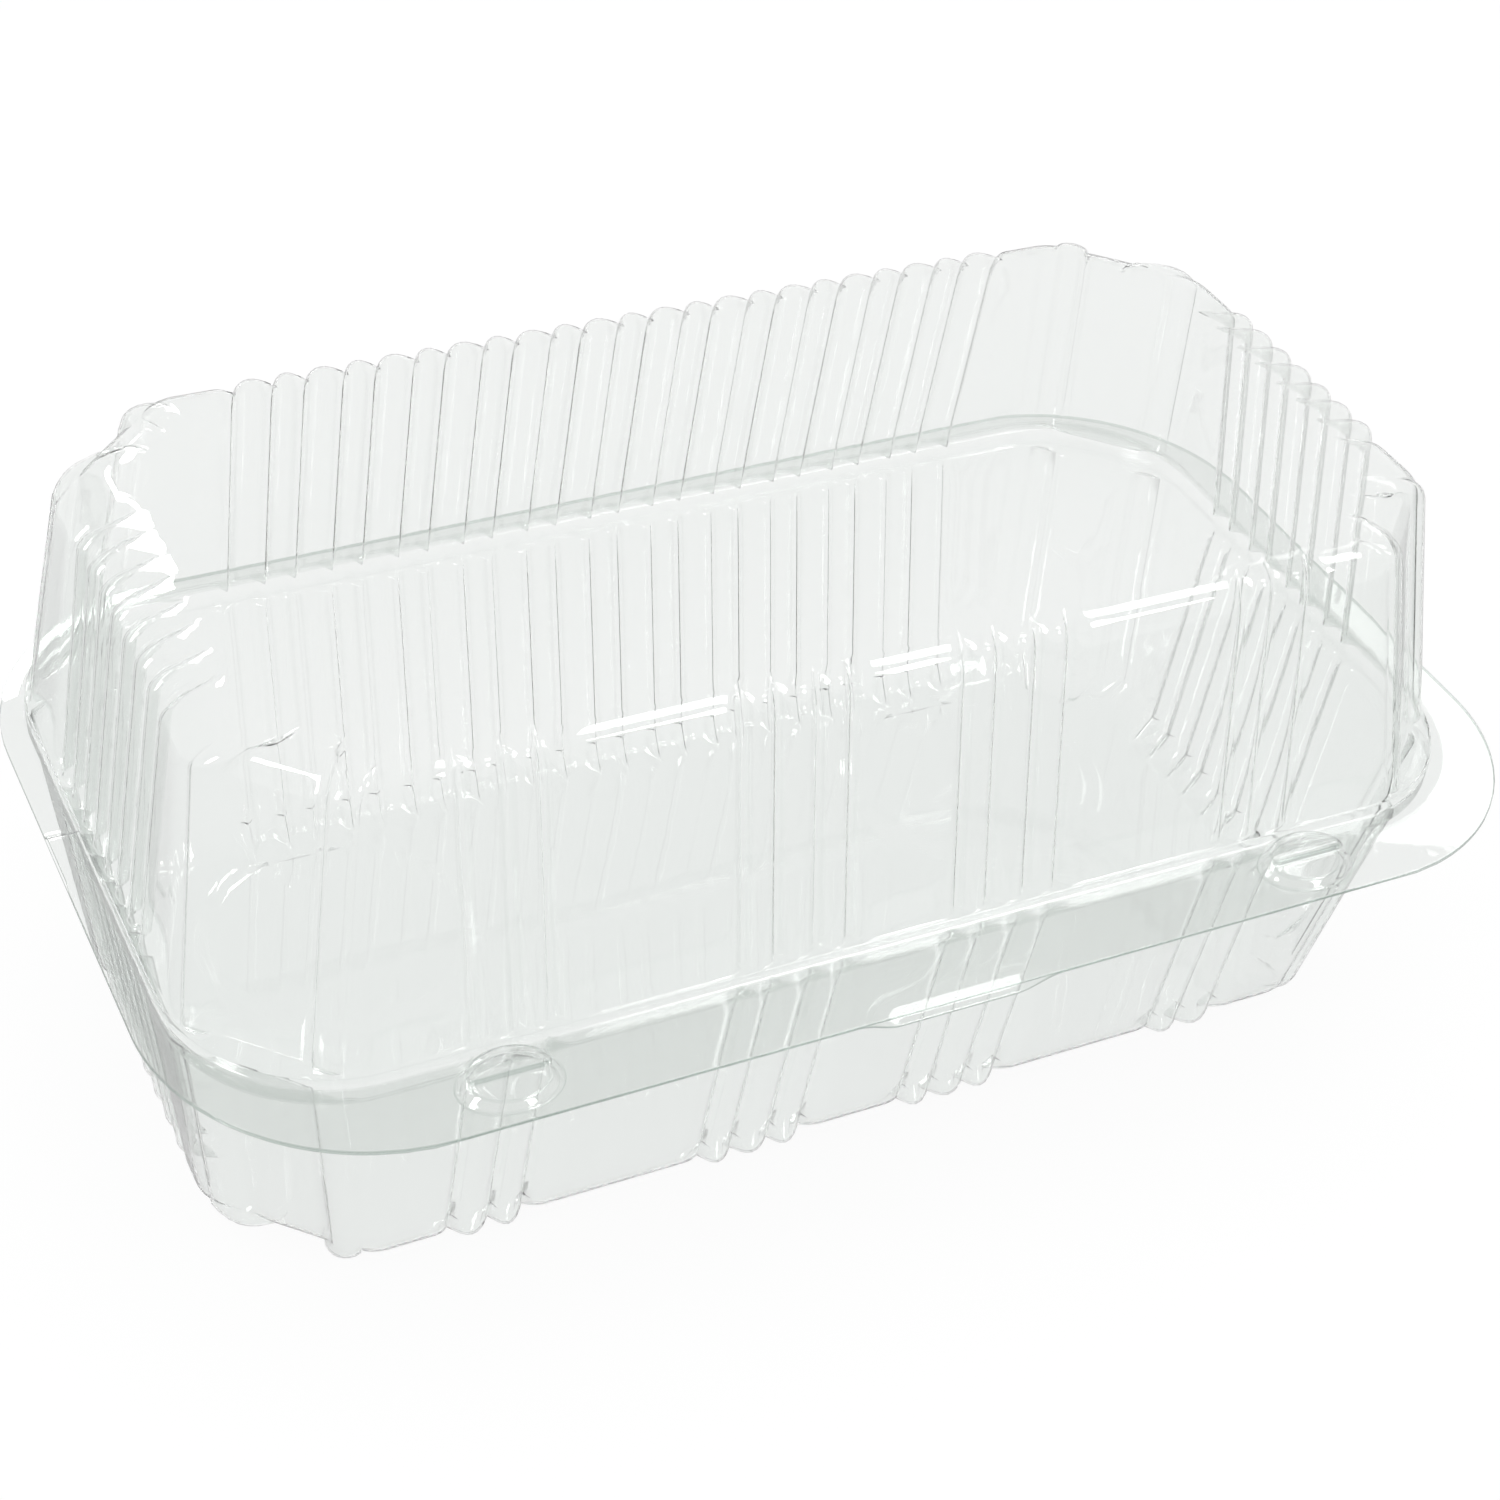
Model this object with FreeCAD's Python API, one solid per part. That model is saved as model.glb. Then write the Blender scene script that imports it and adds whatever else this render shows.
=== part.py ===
import FreeCAD, Part
import math
import os

# A clear hinged pack formed from one sheet: a fluted tray and a fluted domed lid that meet rim to rim.
# The origin is on the table under the middle of the rim. X runs along the length, Y from the snap side
# (negative) to the hinge side (positive), Z up. Millimetres.

SHEET = 0.35
RIM_LENGTH = 248.0
RIM_DEPTH = 151.0
RIM_CORNER = 39.0
RIM_GAP = 0.04
TRAY_DEPTH = 53.0
LID_HEIGHT = 50.4

SNAP_LENGTH = 17.6
SNAP_DEPTH = 13.2
SNAP_RISE = 3.2
SNAP_FROM_ENDS = 44.6
SNAP_FRONT_LAND = 1.8
SNAP_BACK_LAND = 0.5
SNAP_TAPER = 0.78
SNAP_STEP = 1.1
SNAP_SIDES = 20
SNAP_CLEARANCE = 0.3

FLANGE_LEFT = 5.4
FLANGE_RIGHT = 8.4
FLANGE_BACK = 5.5
FLANGE_FRONT = SNAP_FRONT_LAND + SNAP_DEPTH + SNAP_BACK_LAND
COLLAR_LENGTH = RIM_LENGTH - FLANGE_LEFT - FLANGE_RIGHT
COLLAR_DEPTH = RIM_DEPTH - FLANGE_FRONT - FLANGE_BACK
DOME_MIDDLE = FreeCAD.Vector((FLANGE_LEFT - FLANGE_RIGHT) / 2.0, (FLANGE_FRONT - FLANGE_BACK) / 2.0, 0)
COLLAR_CORNER = 28.0
LID_COLLAR_RISE = 2.0
TRAY_COLLAR_RISE = 3.5
LEDGE = 0.8

LID_DRAFT_ENDS = 5.4
LID_DRAFT_SIDES = 7.3
LID_SHOULDER_RISE = 4.2
LID_SHOULDER_ENDS = 8.0
LID_SHOULDER_SIDES = 4.2
LID_SHOULDER_STEPS = ((0.0, 0.0), (0.42, 0.7), (1.0, 1.0))
TRAY_DRAFT_ENDS = 5.5
TRAY_DRAFT_SIDES = 8.2
TRAY_SHOULDER_RISE = 4.5
TRAY_SHOULDER_ENDS = 5.0
TRAY_SHOULDER_SIDES = 4.6
TRAY_SHOULDER_STEPS = ((0.0, 0.0), (1.0, 1.0))
CORNER_LAND = 0.3
CORNER_TAPER = 4.5
CORNER_ROUND = math.sqrt((COLLAR_CORNER - CORNER_LAND) ** 2 - (COLLAR_CORNER - LEDGE) ** 2)
CORNER_CUT = COLLAR_CORNER - LEDGE - CORNER_ROUND

WIDE_FLUTE = 7.15
NARROW_FLUTE = 5.76
FLUTE_MARGIN = 9.0
GROOVE_DEPTH = 2.8
GROOVE_WIDTH = 3.1
GROOVE_BELLY = 0.42
SNAP_SIDE_GROOVES = (False,) + (True,) * 4 + (False,) * 4 + (True,) * 3

POST_WIDTH = 5.6
POST_RISE = 1.6
POST_FROM_EDGE = 4.6

VENT_WIDTH = 15.5
VENT_SLOPE = 2.2
VENT_RISE = 1.8

PARTING = TRAY_DEPTH


def creases(reach, middle, following):
    """Crease positions from the middle flute out to a reach, as two flute widths take turns."""
    places = [middle / 2.0]
    widths = (following, middle)
    while places[-1] + widths[0] <= reach:
        places.append(places[-1] + widths[0])
        widths = widths[::-1]
    return places


def both_ways(places):
    """Positions on both sides of the middle, in order."""
    return [-place for place in reversed(places)] + places


def groove_rows(half_x, half_y):
    """Groove positions for each side of the plan from the snap side round, and none for its cut corners."""
    corner = CORNER_CUT - CORNER_TAPER + FLUTE_MARGIN
    back = creases(half_x - corner, NARROW_FLUTE, WIDE_FLUTE)
    front = [place for place, used in zip(back, SNAP_SIDE_GROOVES) if used]
    ends = creases(half_y - corner, WIDE_FLUTE, NARROW_FLUTE)
    rows = []
    for places in (front, ends, back, ends):
        rows += [both_ways(places), None]
    return rows


def groove(rounded):
    """One crease between two half-round flutes, as (along, outward) steps from its middle."""
    half = GROOVE_WIDTH / 2.0
    if not rounded:
        return [(-half, 0.0), (0.0, -GROOVE_DEPTH), (half, 0.0)]
    belly = half * GROOVE_BELLY
    shallow = GROOVE_DEPTH * (1.0 - GROOVE_BELLY) * 0.62
    return [(-half, 0.0), (-belly, -shallow), (0.0, -GROOVE_DEPTH), (belly, -shallow), (half, 0.0)]


def post():
    """One corner post, as (along, outward) steps from its middle."""
    half = POST_WIDTH / 2.0
    slope = half * 0.62
    low = POST_RISE * 0.8
    return [(-half, 0.0), (-slope, low), (0.0, POST_RISE), (slope, low), (half, 0.0)]


def side_points(start, end, places, shape):
    """Corner points of one straight side, from its start up to its end, with a shape at each place."""
    along = (end - start).normalize()
    outward = FreeCAD.Vector(along.y, -along.x, 0)
    middle = (start + end) * 0.5
    points = [start]
    for place in places:
        for step, lift in shape:
            points.append(middle + along * (place + step) + outward * lift)
    return points


def outline(half_x, half_y, cut, rows, rounded):
    """Closed fluted plan of a shell at one height, seen from above and turning left."""
    corners = [
        FreeCAD.Vector(-half_x + cut, -half_y, 0),
        FreeCAD.Vector(half_x - cut, -half_y, 0),
        FreeCAD.Vector(half_x, -half_y + cut, 0),
        FreeCAD.Vector(half_x, half_y - cut, 0),
        FreeCAD.Vector(half_x - cut, half_y, 0),
        FreeCAD.Vector(-half_x + cut, half_y, 0),
        FreeCAD.Vector(-half_x, half_y - cut, 0),
        FreeCAD.Vector(-half_x, -half_y + cut, 0),
    ]
    reach = cut / math.sqrt(2.0) - POST_FROM_EDGE
    points = []
    for index, row in enumerate(rows):
        start = corners[index]
        end = corners[(index + 1) % len(corners)]
        if row is None:
            points += side_points(start, end, (-reach, reach), post())
        else:
            points += side_points(start, end, row, groove(rounded))
    return points


def inset(points, distance):
    """The same closed plan moved inward by a distance, corner for corner."""
    moved = []
    count = len(points)
    for index, here in enumerate(points):
        before = here - points[index - 1]
        after = points[(index + 1) % count] - here
        first = FreeCAD.Vector(-before.y, before.x, 0).normalize()
        second = FreeCAD.Vector(-after.y, after.x, 0).normalize()
        share = distance / (1.0 + first.dot(second))
        moved.append(here + (first + second) * share)
    return moved


def lifted(points, height):
    """A plan at a height."""
    return [FreeCAD.Vector(point.x, point.y, height) for point in points]


def plate(outer, holes=()):
    """A flat face inside one closed wire and outside the others."""
    return Part.makeFace([outer] + list(holes), "Part::FaceMakerBullseye")


def closed_wire(points):
    """A closed wire of straight edges."""
    return Part.makePolygon(points + points[:1])


def panel(first, second, third, fourth):
    """A wall panel between two heights: one flat face, or two where its corners don't lie flat."""
    normal = (second - first).cross(third - first)
    if normal.Length > 1e-9 and abs((fourth - first).dot(normal.normalize())) < 1e-6:
        return [Part.Face(closed_wire([first, second, third, fourth]))]
    return [
        Part.Face(closed_wire([first, second, third])),
        Part.Face(closed_wire([first, third, fourth])),
    ]


def band(lower, upper):
    """Wall panels between two plans that have the same corners."""
    faces = []
    count = len(lower)
    for index in range(count):
        following = (index + 1) % count
        faces += panel(lower[index], lower[following], upper[following], upper[index])
    return faces


def rounded_rectangle(half_x, half_y, corner, height):
    """A rounded rectangle about the origin, as a closed wire."""
    edges = []
    centres = ((1, -1), (1, 1), (-1, 1), (-1, -1))
    arcs = []
    for turn, (sign_x, sign_y) in enumerate(centres):
        centre = FreeCAD.Vector(sign_x * (half_x - corner), sign_y * (half_y - corner), height)
        angles = [math.radians(-90.0 + 90.0 * turn + step) for step in (0.0, 45.0, 90.0)]
        arcs.append([centre + FreeCAD.Vector(math.cos(a), math.sin(a), 0) * corner for a in angles])
    for index, arc in enumerate(arcs):
        edges.append(Part.makeLine(arcs[index - 1][2], arc[0]))
        edges.append(Part.Arc(*arc).toShape())
    return Part.Wire(edges)


def rim_wire(height):
    """The plan of the rim."""
    return rounded_rectangle(RIM_LENGTH / 2.0, RIM_DEPTH / 2.0, RIM_CORNER, height)


def collar_wire(wall, height):
    """The plan of the plain collar that stands between the rim and the flutes."""
    wire = rounded_rectangle(
        COLLAR_LENGTH / 2.0 - wall, COLLAR_DEPTH / 2.0 - wall, COLLAR_CORNER - wall, height
    )
    wire.translate(DOME_MIDDLE)
    return wire


def skirt(lower, upper):
    """The walls between two matching wires."""
    return Part.makeLoft([lower, upper], False, True).Faces


def snap_ring(side, shrink, scale, height):
    """Plan of one snap button: an oval cut by straight edges."""
    across = side * (COLLAR_LENGTH / 2.0 - SNAP_FROM_ENDS)
    from_edge = SNAP_FRONT_LAND + SNAP_DEPTH / 2.0
    centre = FreeCAD.Vector(DOME_MIDDLE.x + across, from_edge - RIM_DEPTH / 2.0, height)
    points = []
    for index in range(SNAP_SIDES):
        angle = 2.0 * math.pi * (index + 0.5) / SNAP_SIDES
        along = math.cos(angle) * (SNAP_LENGTH / 2.0 - shrink) * scale
        across = math.sin(angle) * (SNAP_DEPTH / 2.0 - shrink) * scale
        points.append(centre + FreeCAD.Vector(along, across, 0))
    return points


def snap_surface(side, shrink, foot, top):
    """Foot wire and faces of one snap button, whose front half stands nearer to the rim."""
    lower = snap_ring(side, shrink, 1.0, foot)
    upper = snap_ring(side, shrink, SNAP_TAPER, top)
    half = SNAP_SIDES // 2
    step = math.copysign(SNAP_STEP, top - foot)
    low = [point - FreeCAD.Vector(0, 0, step) for point in upper]
    edge = upper[:half] + low[half:]
    faces = []
    for index in range(SNAP_SIDES):
        following = (index + 1) % SNAP_SIDES
        faces += panel(lower[index], lower[following], edge[following], edge[index])
    faces.append(Part.Face(closed_wire(upper[:half])))
    faces += panel(upper[0], upper[half - 1], low[half], low[-1])
    faces.append(Part.Face(closed_wire(low[half:])))
    return closed_wire(lower), faces


def shell_levels(height, collar, drafts, shoulder):
    """Outer and inner plans of the fluted walls, from the ledge over the shoulder to the closed end."""
    rise, ends, sides, steps = shoulder
    foot_x = COLLAR_LENGTH / 2.0 - LEDGE
    foot_y = COLLAR_DEPTH / 2.0 - LEDGE
    rows = groove_rows(foot_x - drafts[0] - ends, foot_y - drafts[1] - sides)
    levels = [(collar, foot_x, foot_y, CORNER_CUT, SHEET)]
    for inward, upward in steps:
        half_x = foot_x - drafts[0] - ends * inward
        half_y = foot_y - drafts[1] - sides * inward
        cut = CORNER_CUT - CORNER_TAPER * inward
        drop = SHEET * (0.35 + 0.65 * inward)
        levels.append((height - rise + rise * upward, half_x, half_y, cut, drop))
    outer = []
    inner = []
    for level, half_x, half_y, cut, drop in levels:
        outside = [point + DOME_MIDDLE for point in outline(half_x, half_y, cut, rows, True)]
        inside = [point + DOME_MIDDLE for point in outline(half_x, half_y, cut, rows, False)]
        outer.append(lifted(outside, level))
        inner.append(lifted(inset(inside, SHEET), level - drop))
    return outer, inner


def snap_pair(shrink, foot, top):
    """Foot wires and faces of both snap buttons on one side of the sheet."""
    return [snap_surface(side, shrink, foot, top) for side in (-1, 1)]


def formed_shell(height, collar, drafts, shoulder, snaps_over, snaps_under):
    """One formed shell on its rim, opening downward, with the parting plane at zero."""
    under = RIM_GAP / 2.0
    over = under + SHEET
    outer, inner = shell_levels(height, collar, drafts, shoulder)
    faces = []
    for levels in (outer, inner):
        for lower, upper in zip(levels, levels[1:]):
            faces += band(lower, upper)
        faces.append(plate(closed_wire(levels[-1])))
    for _, snap_faces in snaps_over + snaps_under:
        faces += snap_faces
    faces.append(plate(collar_wire(0.0, collar), [closed_wire(outer[0])]))
    faces.append(plate(collar_wire(SHEET, collar - SHEET), [closed_wire(inner[0])]))
    faces += skirt(collar_wire(0.0, over), collar_wire(0.0, collar))
    faces += skirt(collar_wire(SHEET, under), collar_wire(SHEET, collar - SHEET))
    outer_feet = [wire for wire, _ in snaps_over]
    faces.append(plate(rim_wire(over), [collar_wire(0.0, over)] + outer_feet))
    inner_feet = [wire for wire, _ in snaps_under]
    faces.append(plate(rim_wire(under), [collar_wire(SHEET, under)] + inner_feet))
    faces += skirt(rim_wire(under), rim_wire(over))
    return sewn_solid(faces)


def sewn_solid(faces):
    """One closed solid from faces that share their edges."""
    shell = Part.makeShell(faces)
    shell.sewShape()
    if shell.ShapeType != "Shell":
        shell = shell.Shells[0]
    solid = Part.makeSolid(shell)
    if solid.Volume < 0:
        solid.reverse()
    return solid


def vent_prism(shrink, reach):
    """A bar with sloped sides across the rim at the left end, from its edge to a reach into the collar."""
    foot = VENT_WIDTH / 2.0 - shrink
    roof = foot - VENT_SLOPE
    start = -RIM_LENGTH / 2.0 - shrink
    middle = DOME_MIDDLE.y
    section = [
        FreeCAD.Vector(start, middle - foot, RIM_GAP / 2.0 - shrink),
        FreeCAD.Vector(start, middle + foot, RIM_GAP / 2.0 - shrink),
        FreeCAD.Vector(start, middle + roof, VENT_RISE - shrink),
        FreeCAD.Vector(start, middle - roof, VENT_RISE - shrink),
    ]
    return Part.Face(closed_wire(section)).extrude(FreeCAD.Vector(FLANGE_LEFT + shrink + reach, 0, 0))


def vented(lid):
    """The lid with a steam channel raised in its rim, open at the rim's edge and through the collar."""
    return lid.fuse(vent_prism(0.0, SHEET / 2.0)).cut(vent_prism(SHEET, SHEET * 2.0)).Solids[0]


def make_lid():
    """The domed lid, closed on the tray."""
    under = RIM_GAP / 2.0
    lid = formed_shell(
        LID_HEIGHT,
        LID_COLLAR_RISE,
        (LID_DRAFT_ENDS, LID_DRAFT_SIDES),
        (LID_SHOULDER_RISE, LID_SHOULDER_ENDS, LID_SHOULDER_SIDES, LID_SHOULDER_STEPS),
        snap_pair(0.0, under + SHEET, SNAP_RISE),
        snap_pair(SHEET, under, SNAP_RISE - SHEET),
    )
    lid = vented(lid)
    lid.translate(FreeCAD.Vector(0, 0, PARTING))
    return lid


def make_tray():
    """The tray: the same forming turned over, with snap buttons that stand up into the lid's."""
    under = RIM_GAP / 2.0
    shrink = SHEET + SNAP_CLEARANCE
    top = SNAP_RISE - SHEET - SNAP_CLEARANCE
    tray = formed_shell(
        TRAY_DEPTH,
        TRAY_COLLAR_RISE,
        (TRAY_DRAFT_ENDS, TRAY_DRAFT_SIDES),
        (TRAY_SHOULDER_RISE, TRAY_SHOULDER_ENDS, TRAY_SHOULDER_SIDES, TRAY_SHOULDER_STEPS),
        snap_pair(shrink + SHEET, under + SHEET, SHEET - top),
        snap_pair(shrink, under, -top),
    )
    tray = tray.mirror(FreeCAD.Vector(0, 0, 0), FreeCAD.Vector(0, 0, 1))
    tray.translate(FreeCAD.Vector(0, 0, PARTING))
    return tray


def save(shape, name):
    """Writes one node."""
    shape.exportStep("parts/" + name + ".step")


if __name__ == "__main__":
    os.makedirs("parts", exist_ok=True)
    save(make_tray(), "tray")
    save(make_lid(), "lid")
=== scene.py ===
"""A clear hinged food pack: a fluted tray and a fluted domed lid, formed from one folded sheet."""

import logging
import math
from dataclasses import dataclass, replace
from enum import Enum

import bmesh
import bpy
import numpy as np
from mathutils import Matrix, Vector
from mathutils.geometry import delaunay_2d_cdt

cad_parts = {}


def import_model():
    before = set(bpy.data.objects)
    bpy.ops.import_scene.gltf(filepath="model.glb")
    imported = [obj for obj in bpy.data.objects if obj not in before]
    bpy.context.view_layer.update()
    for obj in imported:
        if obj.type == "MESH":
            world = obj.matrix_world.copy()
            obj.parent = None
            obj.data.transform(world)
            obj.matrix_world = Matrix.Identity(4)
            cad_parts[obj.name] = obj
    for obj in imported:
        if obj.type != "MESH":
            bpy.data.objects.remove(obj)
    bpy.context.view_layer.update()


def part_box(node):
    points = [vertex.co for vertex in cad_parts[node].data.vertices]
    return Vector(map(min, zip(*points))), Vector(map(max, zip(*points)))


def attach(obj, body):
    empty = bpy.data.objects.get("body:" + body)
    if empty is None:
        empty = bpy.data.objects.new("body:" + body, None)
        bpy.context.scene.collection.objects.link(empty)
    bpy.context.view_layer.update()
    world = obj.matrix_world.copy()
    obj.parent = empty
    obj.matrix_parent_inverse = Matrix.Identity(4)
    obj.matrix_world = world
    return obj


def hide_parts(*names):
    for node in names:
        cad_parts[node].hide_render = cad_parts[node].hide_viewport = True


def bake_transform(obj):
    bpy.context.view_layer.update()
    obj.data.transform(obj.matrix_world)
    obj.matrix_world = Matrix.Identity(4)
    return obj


LOG = logging.getLogger("clear_pack")


class Side(Enum):
    """The eight straight runs of the plan, in order as seen from above, turning left."""

    SNAP = 0
    SNAP_RIGHT = 1
    RIGHT = 2
    HINGE_RIGHT = 3
    HINGE = 4
    HINGE_LEFT = 5
    LEFT = 6
    SNAP_LEFT = 7

    @property
    def is_corner(self) -> bool:
        """Tells a cut corner from one of the four long runs.

        Returns:
            Whether the run is a cut corner.
        """
        return self.value % 2 == 1


class Facing(Enum):
    """Which way a shell's closed end points."""

    UP = 1.0
    DOWN = -1.0


class Graph:
    """Adds nodes to a tree and links them as they are made."""

    def __init__(self, tree: bpy.types.NodeTree) -> None:
        """Starts on an emptied tree.

        Args:
            tree: the tree that takes the nodes.
        """
        self.tree = tree
        tree.nodes.clear()

    def add(
        self, kind: str, sockets: dict[int | str, object] | None = None, **settings: object
    ) -> bpy.types.Node:
        """Adds one node.

        Args:
            kind: the node's type name.
            sockets: outputs to link or values to set, by the input's name or number.
            **settings: values for the node's own properties.

        Returns:
            The new node.
        """
        node = self.tree.nodes.new(kind)
        for key, value in settings.items():
            setattr(node, key, value)
        for place, value in (sockets or {}).items():
            self._feed(node.inputs[place], value)
        return node

    def _feed(self, socket: bpy.types.NodeSocket, value: object) -> None:
        """Links a socket to an output, or sets its own value.

        Args:
            socket: the input.
            value: the output or the value.
        """
        if isinstance(value, bpy.types.NodeSocket):
            self.tree.links.new(value, socket)
        else:
            socket.default_value = value

    def math(self, operation: str, *values: object) -> bpy.types.NodeSocket:
        """Adds one Math node.

        Args:
            operation: the operation's name.
            *values: outputs or numbers for its inputs, in order.

        Returns:
            The node's result.
        """
        return self.add("ShaderNodeMath", dict(enumerate(values)), operation=operation).outputs[0]

    def attribute(self, name: str, kind: str) -> bpy.types.NodeSocket:
        """Reads a named attribute of the mesh in a geometry tree.

        Args:
            name: the attribute's name.
            kind: its data type.

        Returns:
            The attribute's value at each point.
        """
        node = self.add("GeometryNodeInputNamedAttribute", {"Name": name}, data_type=kind)
        return next(socket for socket in node.outputs if socket.enabled)


@dataclass(frozen=True)
class ClearSheet:
    """Clear, glossy formed sheet: nearly colourless, a little greener where it kept its full gauge.

    A wall this thin hardly bends what is seen through it, so the body's index is close to that of air and
    the gloss comes from a coat with the index of the plastic.

    Attributes:
        name: the material's name.
        body_ior: refractive index of the body.
        coat_ior: refractive index of the glossy skin.
        coat_roughness: roughness of the glossy skin.
        drawn_tint: what a face lets through where the sheet was drawn thin.
        gauge_tint: what a face lets through at full gauge.
        painted_edge_shade: painted shade: a dark tint that darkens the cut edges and, mixed in part, the
            snap buttons' crease lines.
        shadow_tint: what a face lets through on the way to a lamp.
        gloss: roughness of the clearest and of the haziest spots.
        haze_scale: haze patches to the metre.
        wave_scale: slow waves to the metre left by forming.
        wave_height: height of those waves.
        grain_scale: fine skin marks to the metre.
        grain_height: height of those marks.
    """

    name: str = "clear_gloss_sheet"
    body_ior: float = 1.03
    coat_ior: float = 1.57
    coat_roughness: float = 0.002
    drawn_tint: tuple[float, float, float, float] = (0.955, 0.961, 0.956, 1.0)
    gauge_tint: tuple[float, float, float, float] = (0.893, 0.910, 0.899, 1.0)
    # Painted shade: a dark tint for the cut edges and, in part, the snap buttons' crease lines.
    painted_edge_shade: tuple[float, float, float, float] = (0.48, 0.55, 0.51, 1.0)
    shadow_tint: tuple[float, float, float, float] = (0.95, 0.96, 0.955, 1.0)
    gloss: tuple[float, float] = (0.0008, 0.0034)
    haze_scale: float = 60.0
    wave_scale: float = 26.0
    wave_height: float = 0.00022
    grain_scale: float = 420.0
    grain_height: float = 0.000006

    def build(self) -> bpy.types.Material:
        """Makes the material.

        Returns:
            A see-through material that lets lamps through.
        """
        material = bpy.data.materials.new(self.name)
        material.use_nodes = True
        graph = Graph(material.node_tree)
        place = graph.add("ShaderNodeTexCoord").outputs["Object"]
        waves = self._waves(graph, place)
        sheet = graph.add(
            "ShaderNodeBsdfPrincipled",
            {
                "IOR": self.body_ior,
                "Coat Weight": 1.0,
                "Coat IOR": self.coat_ior,
                "Coat Roughness": self.coat_roughness,
                "Transmission Weight": 1.0,
                "Base Color": self._tint(graph),
                "Roughness": self._haze(graph, place),
                "Normal": waves,
                "Coat Normal": waves,
            },
        ).outputs[0]
        clear = graph.add("ShaderNodeBsdfTransparent", {"Color": self.shadow_tint}).outputs[0]
        shadow = graph.add("ShaderNodeLightPath").outputs["Is Shadow Ray"]
        mix = graph.add("ShaderNodeMixShader", {0: shadow, 1: sheet, 2: clear})
        graph.add("ShaderNodeOutputMaterial", {"Surface": mix.outputs[0]})
        return material

    def _tint(self, graph: Graph) -> bpy.types.NodeSocket:
        """Picks the tint by the gauge kept: none where drawn thin, one at full gauge, two for painted
        shade at a cut edge.

        Args:
            graph: the material's graph.

        Returns:
            The tint.
        """
        gauge = graph.add("ShaderNodeAttribute", attribute_name="gauge").outputs["Fac"]
        ramp = graph.add("ShaderNodeValToRGB", {"Fac": graph.math("MULTIPLY", gauge, 0.5)})
        stops = ramp.color_ramp.elements
        stops[0].color = self.drawn_tint
        stops[1].color = self.painted_edge_shade
        stops.new(0.5).color = self.gauge_tint
        return ramp.outputs["Color"]

    def _haze(self, graph: Graph, place: bpy.types.NodeSocket) -> bpy.types.NodeSocket:
        """Spreads faint haze patches over the gloss.

        Args:
            graph: the material's graph.
            place: the point on the piece.

        Returns:
            The roughness.
        """
        noise = graph.add("ShaderNodeTexNoise", {"Vector": place, "Scale": self.haze_scale, "Detail": 1.0})
        low, high = self.gloss
        sockets = {"Value": noise.outputs["Fac"], "From Min": 0.35, "From Max": 0.75}
        sockets |= {"To Min": low, "To Max": high}
        return graph.add("ShaderNodeMapRange", sockets).outputs["Result"]

    def _waves(self, graph: Graph, place: bpy.types.NodeSocket) -> bpy.types.NodeSocket:
        """Bends the normal by slow forming waves and a fine skin.

        Args:
            graph: the material's graph.
            place: the point on the piece.

        Returns:
            The bent normal.
        """
        bend = {}
        for scale, height in ((self.wave_scale, self.wave_height), (self.grain_scale, self.grain_height)):
            noise = graph.add("ShaderNodeTexNoise", {"Vector": place, "Scale": scale, "Detail": 0.0})
            sockets = {"Strength": 1.0, "Distance": height, "Height": noise.outputs["Fac"]}
            bend = {"Normal": graph.add("ShaderNodeBump", sockets | bend).outputs["Normal"]}
        return bend["Normal"]


@dataclass(frozen=True)
class PaleFloor:
    """A plain pale studio floor that keeps a soft shadow and stays near white behind the pack.

    Attributes:
        brightness: share of light that the floor sends back.
        mottle: how far that wanders over the floor.
        own_light: share of plain white that the camera sees in place of the lit floor.
        mirrored: brightness of the floor in the sheet's reflections.
    """

    brightness: float = 0.86
    mottle: float = 0.01
    own_light: float = 0.92
    mirrored: float = 0.5

    def build(self) -> bpy.types.Material:
        """Makes the material.

        Returns:
            A material that takes a soft shadow, and is white when it is seen through the pack.
        """
        material = bpy.data.materials.new("pale_floor")
        material.use_nodes = True
        graph = Graph(material.node_tree)
        place = graph.add("ShaderNodeTexCoord").outputs["Object"]
        noise = graph.add("ShaderNodeTexNoise", {"Vector": place, "Scale": 3.0}).outputs["Fac"]
        reach = {"To Min": self.brightness - self.mottle, "To Max": self.brightness + self.mottle}
        shade = graph.add("ShaderNodeMapRange", {"Value": noise} | reach).outputs["Result"]
        lit = graph.add("ShaderNodeBsdfDiffuse", {"Color": shade}).outputs[0]
        rays = graph.add("ShaderNodeLightPath").outputs
        straight = graph.math("MULTIPLY", rays["Is Camera Ray"], self.own_light)
        through = graph.math("MAXIMUM", rays["Is Glossy Ray"], rays["Is Transmission Ray"])
        reflected = graph.math("SUBTRACT", rays["Is Glossy Ray"], rays["Is Transmission Ray"])
        dimmer = graph.math("MULTIPLY", graph.math("MAXIMUM", reflected, 0.0), 1.0 - self.mirrored)
        strength = graph.math("SUBTRACT", 1.0, dimmer)
        white = graph.add("ShaderNodeEmission", {"Strength": strength}).outputs[0]
        share = graph.math("MAXIMUM", straight, through)
        mix = graph.add("ShaderNodeMixShader", {0: share, 1: lit, 2: white})
        graph.add("ShaderNodeOutputMaterial", {"Surface": mix.outputs[0]})
        return material


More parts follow.
